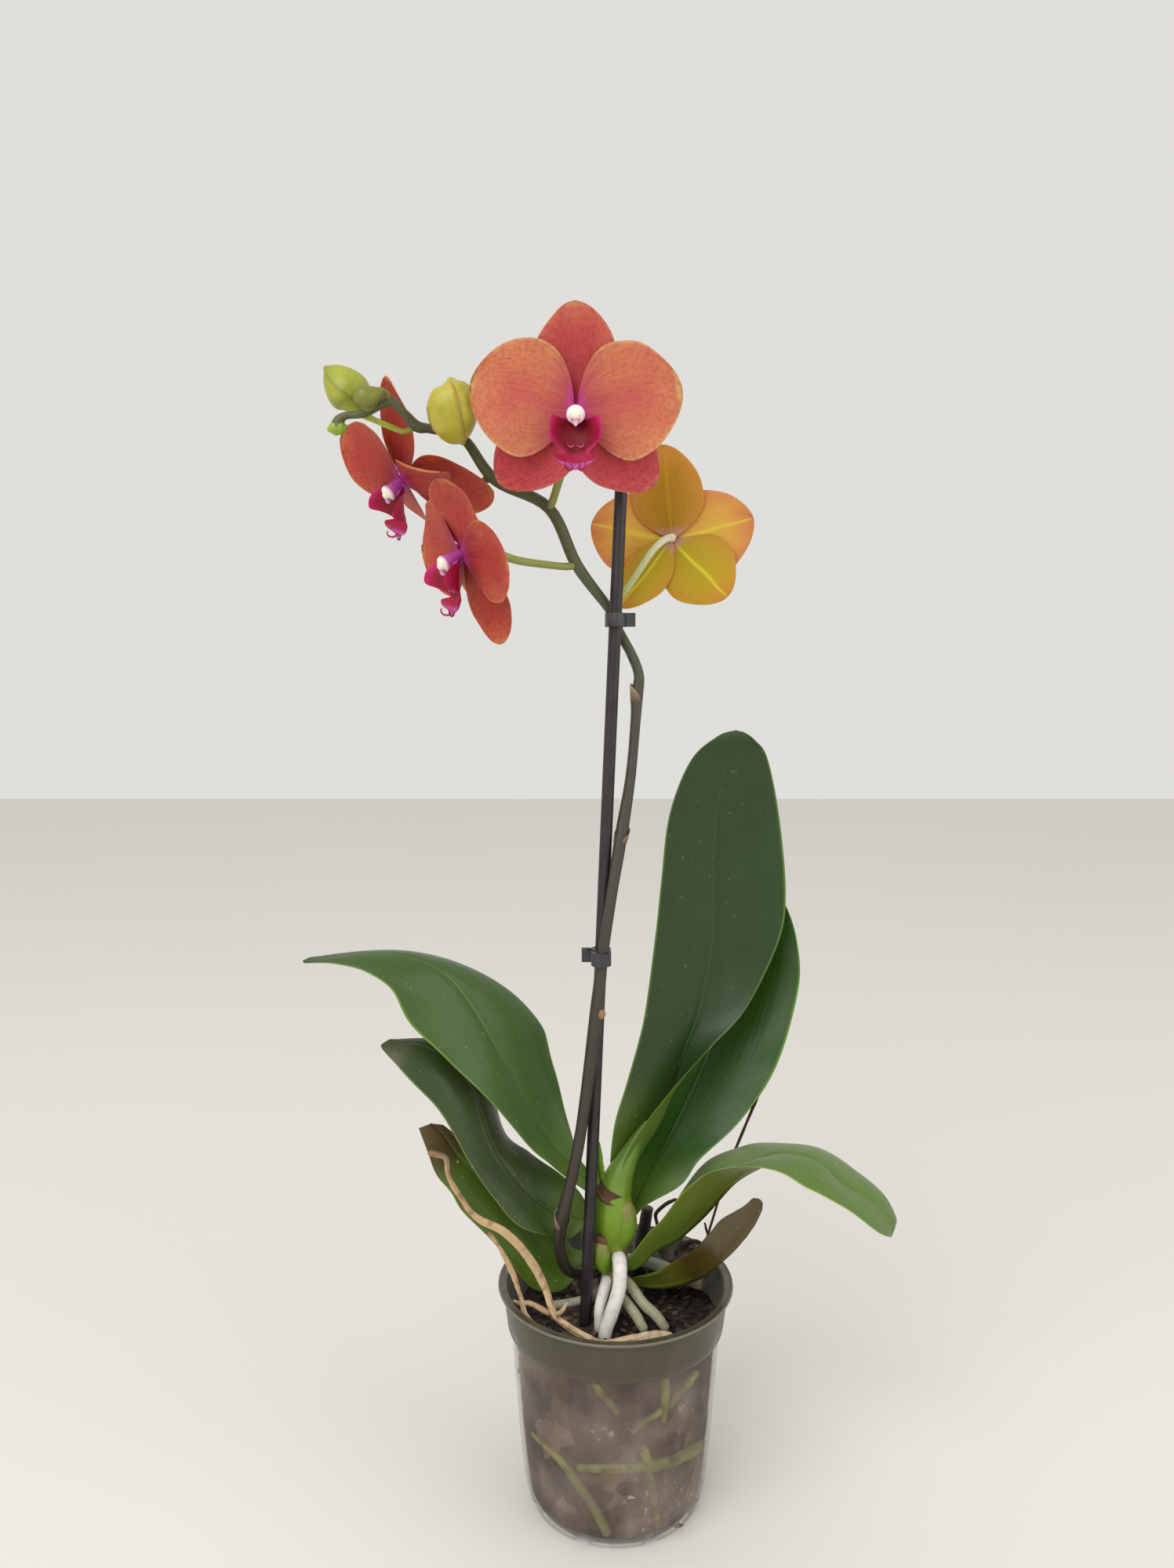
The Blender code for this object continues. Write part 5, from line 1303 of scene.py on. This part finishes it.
class ORCHID_OT_stem(bpy.types.Operator):
    """Short swollen stem, with the collars that old leaves have left on it"""
    bl_idname = "orchid.stem"
    bl_label = "Stem"

    def execute(self, context):
        bm = bmesh.new()
        path = [(-1, 4, z, r) for z, r in ((93, 5.2), (102, 6.2), (112, 6.6), (122, 6.8), (129, 7.6),
                                           (134, 9.0), (141, 10.0), (149, 10.2), (155, 9.6), (159, 8.6),
                                           (163, 6.0))]
        lay_tube(bm, path, 48, 6, lambda turn, t: 1 + 0.05 * ripple(2, math.cos(turn) * 2 + t * 5,
                                                                    math.sin(turn) * 2))
        for path in STEM_LOBES:
            lay_tube(bm, path, 26, 6)
        skin = rind_skin("living_stem_rind")
        piece(bm, "stem_core", [skin], ["stem"])
        clasp = rind_skin("leaf_base_skin")
        rods("leaf_bases", clasp, CLASPS, 36, 7, uneven(5, 0.05, 4, 2))
        husk = rind_skin("dried_leaf_collar")
        rods("stem_collars", husk, COLLARS, 40, 5,
             lambda turn, t: 1 + 0.05 * ripple(8, math.cos(turn) * 4, math.sin(turn) * 4))
        return {"FINISHED"}


class ORCHID_OT_leaves(bpy.types.Operator):
    """Every leaf, each with its own colours"""
    bl_idname = "orchid.leaves"
    bl_label = "Leaves"

    def execute(self, context):
        for name in LEAVES:
            leaf_piece(name, context.scene.orchid_leaf)
        return {"FINISHED"}


class ORCHID_OT_roots(bpy.types.Operator):
    """Silvery living roots and papery dead ones"""
    bl_idname = "orchid.roots"
    bl_label = "Roots"

    def execute(self, context):
        silver = rind_skin("dry_velamen")
        green = rind_skin("damp_velamen")
        beige = rind_skin("cut_root")
        paper = rind_skin("papery_dead_root")
        looks = {"root_white_front": silver, "root_white_rear": silver, "root_front_right": green,
                 "root_front_middle": green, "root_right_flat": beige, "root_left_flat": beige}
        for n, (name, path) in enumerate(ROOTS.items()):
            if "dry" in name:
                # dead roots are empty tubes, collapsed and creased
                bm = bmesh.new()
                lay_tube(bm, path, 22, 9, lambda turn, t: (1.12 - 0.45 * abs(math.sin(turn + t * 7))
                                                           + 0.16 * math.cos(5 * turn + t * 9)
                                                           + 0.2 * ripple(n, t * 26, math.cos(turn))))
                if name == "root_dry_long":
                    lay_tube(bm, SPUR, 10, 5)
                    lay_tube(bm, TORN_END, 12, 5)
                piece(bm, name + "_husk", [paper], [name])
            else:
                rods(name + "_velamen", looks[name], [path], 26, 8,
                     lambda turn, t: (1 + 0.05 * ripple(n, t * 6, math.cos(turn) * 1.5)
                                      + 0.03 * ripple(n + 9, t * 19, math.sin(turn) * 3)),
                     [name], blunt=name == "root_right_flat")
        return {"FINISHED"}


class ORCHID_OT_spike(bpy.types.Operator):
    """Flower spike with its joints and dry bracts, and the dead stub of an older one"""
    bl_idname = "orchid.spike"
    bl_label = "Flower spike"

    def execute(self, context):
        skin = rind_skin("spike_rind")
        rods("spike_stalk", skin, [SPIKE], 24, 7, uneven(3, 0.03, 60, 2), ["flower_spike"])
        bm = bmesh.new()
        for at, tilt, turn, radius, height in BRACTS:
            sheath(bm, at, tilt, radius, height, turn)
        husk = rind_skin("dry_bract")
        piece(bm, "spike_bracts", [husk])
        bm = bmesh.new()
        for at, size in NODE_BUDS:
            lump(bm, at, size, 2.0, 0.1)
        tan = rind_skin("resting_bud")
        piece(bm, "resting_buds", [tan])
        lime = rind_skin("young_bud")
        rods("tip_bud", lime, [TIP_BUD], 24, 6)
        path = [(11, 27, 97.5, 3.0), (13, 27.2, 110, 3.1), (15, 27.6, 122, 3.2), (17.9, 28, 139.2, 3.1)]
        dead = rind_skin("dead_spike")
        rods("old_spike_stub", dead, [path], 22, 8, uneven(4, 0.07, 14, 2), ["cut_spike_stub"],
             blunt=True)
        return {"FINISHED"}


class ORCHID_OT_support(bpy.types.Operator):
    """Stake, with the clips that hold the spike to it"""
    bl_idname = "orchid.support"
    bl_label = "Stake and clips"

    def execute(self, context):
        path = [(-18.5, -8, 22, 3.0), (-14.4, -8, 122, 3.0), (-8.3, -8, 272, 3.0), (-2.2, -8, 422, 3.0),
                (1.8, -8, 519.4, 3.0)]
        dark = moulded_skin("extruded_stake_plastic", "#1D1A1B", "#2D2729", 0.42)
        rods("stake_rod", dark, [path], 32, 8, nodes=["stake"], blunt=True)
        black = moulded_skin("moulded_clip_plastic", "#2A292B", "#434446", 0.4)
        for name in ("clip_upper", "clip_lower"):
            bm = bmesh.new()
            bm.from_mesh(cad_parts[name].data)
            bmesh.ops.remove_doubles(bm, verts=bm.verts, dist=1e-6)
            bmesh.ops.scale(bm, vec=(1 / MM, 1 / MM, 1 / MM), verts=bm.verts)
            bmesh.ops.dissolve_limit(bm, angle_limit=0.02, verts=bm.verts, edges=bm.edges)
            sharp = [e for e in bm.edges if len(e.link_faces) == 2 and e.calc_face_angle(0) > 0.9]
            bmesh.ops.bevel(bm, geom=sharp, offset=0.45, segments=3, profile=0.5, affect="EDGES",
                            material=-1, clamp_overlap=True)
            piece(bm, name + "_band", [black], [name], smooth=False)
        return {"FINISHED"}


class ORCHID_OT_stalks(bpy.types.Operator):
    """Stalk of every flower"""
    bl_idname = "orchid.stalks"
    bl_label = "Flower stalks"

    def execute(self, context):
        for name, (flower, path) in PEDICELS.items():
            spec = FLOWERS[flower]
            at, face = Vector(spec["at"]), Vector(spec["face"]).normalized()
            ends = [(*(at - face * (3.4 * spec["size"] + d)), 1.8) for d in (4, 0)]
            rods(name + "_stalk", rind_skin(name + "_rind"), [list(path) + ends], 18, 7,
                 lambda turn, t: 1 + 0.05 * math.cos(6 * turn) + 0.04 * ripple(6, t * 9), [name])
        return {"FINISHED"}


class ORCHID_OT_buds(bpy.types.Operator):
    """Closed buds, each of three sepals that overlap as they wind round it"""
    bl_idname = "orchid.buds"
    bl_label = "Buds"

    def execute(self, context):
        looks = {"bud_large": ("#BCB038", "#A29A24", "#8A6A28"),
                 "bud_left": ("#A4A82E", "#86901E", "#6E6A20"),
                 "bud_round": ("#7A8026", "#626C1E", "#5A5A28")}

        def overlap(turn, t):
            lap = (turn / math.tau * SEPALS + SEPAL_SWIRL * t) % 1
            return 1 + 0.07 * (lap ** 2 - 0.4) * ease(t, 0.1, 0.35) * (1 - ease(t, 0.85, 1.0))

        for name, path in BUDS.items():
            skin = bud_skin(name + "_skin", *looks[name])
            rods(name + "_sepals", skin, [path], 72, 8, overlap, [name])
        return {"FINISHED"}


class ORCHID_OT_flowers(bpy.types.Operator):
    """Open flowers: sepals, petals, lip and column"""
    bl_idname = "orchid.flowers"
    bl_label = "Flowers"

    def execute(self, context):
        settings = context.scene.orchid_flower
        petal = petal_skin("petal_velvet", *PETAL_LOOK)
        sepal = petal_skin("sepal_velvet", *SEPAL_LOOK)
        top = petal_skin("top_sepal_velvet", *TOP_LOOK)
        deep = petal_skin("shaded_red_velvet", *SHADED_LOOK)
        lip = lip_skin("lip_flesh", "#78081E", ("#A00C3C", "#D02C74"), ("#C05CA8", "#B03A9A"))
        callus = rind_skin("callus_wax")
        wax = rind_skin("column_wax")
        white = rind_skin("anther_cap_wax")
        for n, (flower, spec) in enumerate(FLOWERS.items()):
            place = flower_frame(spec)
            for k, part in enumerate(TEPALS):
                mat = top if part == "sepal_top" else sepal if "sepal" in part else petal
                # the two side flowers take the darker red copy, which is painted shade because they face
                # away from the light
                if flower in ("flower_left", "flower_lower"):
                    mat = deep
                tepal_piece(flower, part, place, settings, mat, n * 5 + k)
            lip_piece(flower, place, lip, callus)
            column_piece(flower, place, wax, white)
        return {"FINISHED"}


class ORCHID_OT_stage(bpy.types.Operator):
    """Plain pale floor, soft light and the camera"""
    bl_idname = "orchid.stage"
    bl_label = "Stage"

    def execute(self, context):
        scene, settings = context.scene, context.scene.orchid_stage
        bm = bmesh.new()
        bmesh.ops.create_grid(bm, x_segments=2, y_segments=2, size=FLOOR_HALF)
        mesh = bpy.data.meshes.new("floor")
        bm.to_mesh(mesh)
        bm.free()
        mat, tree, shader = start("plain_floor", 0.8)
        place = add(tree, "TexCoord", out="Object")
        cloud = add(tree, "TexNoise", {"Vector": place, "Scale": 2.0})
        shade = add(tree, "Mix", {0: add(tree, "MapRange", {0: cloud, 3: 0.0, 4: 0.08}),
                                  6: tuple(settings.floor), 7: linear("#BCBCBC")}, **MIX)
        wire(tree, shader, Base_Color=shade)
        mesh.materials.append(mat)
        floor = bpy.data.objects.new("floor", mesh)
        scene.collection.objects.link(floor)

        world = bpy.data.worlds.new("room")
        world.use_nodes = True
        back = world.node_tree.nodes["Background"]
        back.inputs["Color"].default_value = linear("#E9E7E3")
        back.inputs["Strength"].default_value = settings.room_light
        scene.world = world
        for name, at, size, power in (("key", (-0.9, -1.3, 1.5), 1.6, settings.key_power),
                                      ("fill", (1.5, -0.8, 0.9), 1.4, settings.key_power * 0.35)):
            lamp = bpy.data.lights.new(name, "AREA")
            lamp.size, lamp.energy = size, power
            obj = bpy.data.objects.new(name, lamp)
            obj.location = at
            obj.rotation_euler = (Vector(LAMP_TARGET) - Vector(at)).to_track_quat("-Z", "Y").to_euler()
            scene.collection.objects.link(obj)

        camera = bpy.data.cameras.new("camera")
        camera.sensor_fit = "VERTICAL"
        camera.sensor_height = camera.sensor_width = SENSOR
        camera.lens = LENS
        camera.clip_start = 0.01
        obj = bpy.data.objects.new("camera", camera)
        obj.location = CAMERA_AT
        obj.rotation_euler = (math.radians(90 - CAMERA_TILT), 0, 0)
        scene.collection.objects.link(obj)
        scene.camera = obj
        scene.view_settings.view_transform = "Standard"
        return {"FINISHED"}


class ORCHID_PT_panel(bpy.types.Panel):
    """Lists the pieces of the orchid and their settings"""
    bl_idname = "ORCHID_PT_panel"
    bl_label = "Potted orchid"
    bl_space_type = "VIEW_3D"
    bl_region_type = "UI"
    bl_category = "Orchid"

    def draw(self, context):
        for group in SETTINGS:
            box = self.layout.box()
            owner = getattr(context.scene, group)
            for key in owner.__annotations__:
                box.prop(owner, key)
        for step in STEPS:
            self.layout.operator(step.bl_idname)


SETTINGS = {"orchid_leaf": OrchidLeafSettings, "orchid_flower": OrchidFlowerSettings,
            "orchid_pot": OrchidPotSettings, "orchid_stage": OrchidStageSettings}
STEPS = (ORCHID_OT_stage, ORCHID_OT_pot, ORCHID_OT_medium, ORCHID_OT_litter, ORCHID_OT_stem,
         ORCHID_OT_leaves, ORCHID_OT_roots, ORCHID_OT_spike, ORCHID_OT_support, ORCHID_OT_stalks,
         ORCHID_OT_buds, ORCHID_OT_flowers)
CLASSES = (*SETTINGS.values(), *STEPS, ORCHID_PT_panel)


def register():
    """Register the classes and hang the settings on the scene."""
    for cls in CLASSES:
        bpy.utils.register_class(cls)
    for name, group in SETTINGS.items():
        setattr(bpy.types.Scene, name, bpy.props.PointerProperty(type=group))


def unregister():
    """Undo register."""
    for name in SETTINGS:
        delattr(bpy.types.Scene, name)
    for cls in reversed(CLASSES):
        bpy.utils.unregister_class(cls)


def main():
    """Make the orchid piece by piece."""
    register()
    for step in STEPS:
        group, name = step.bl_idname.split(".")
        getattr(getattr(bpy.ops, group), name)()


if __name__ == "__main__":
    main()
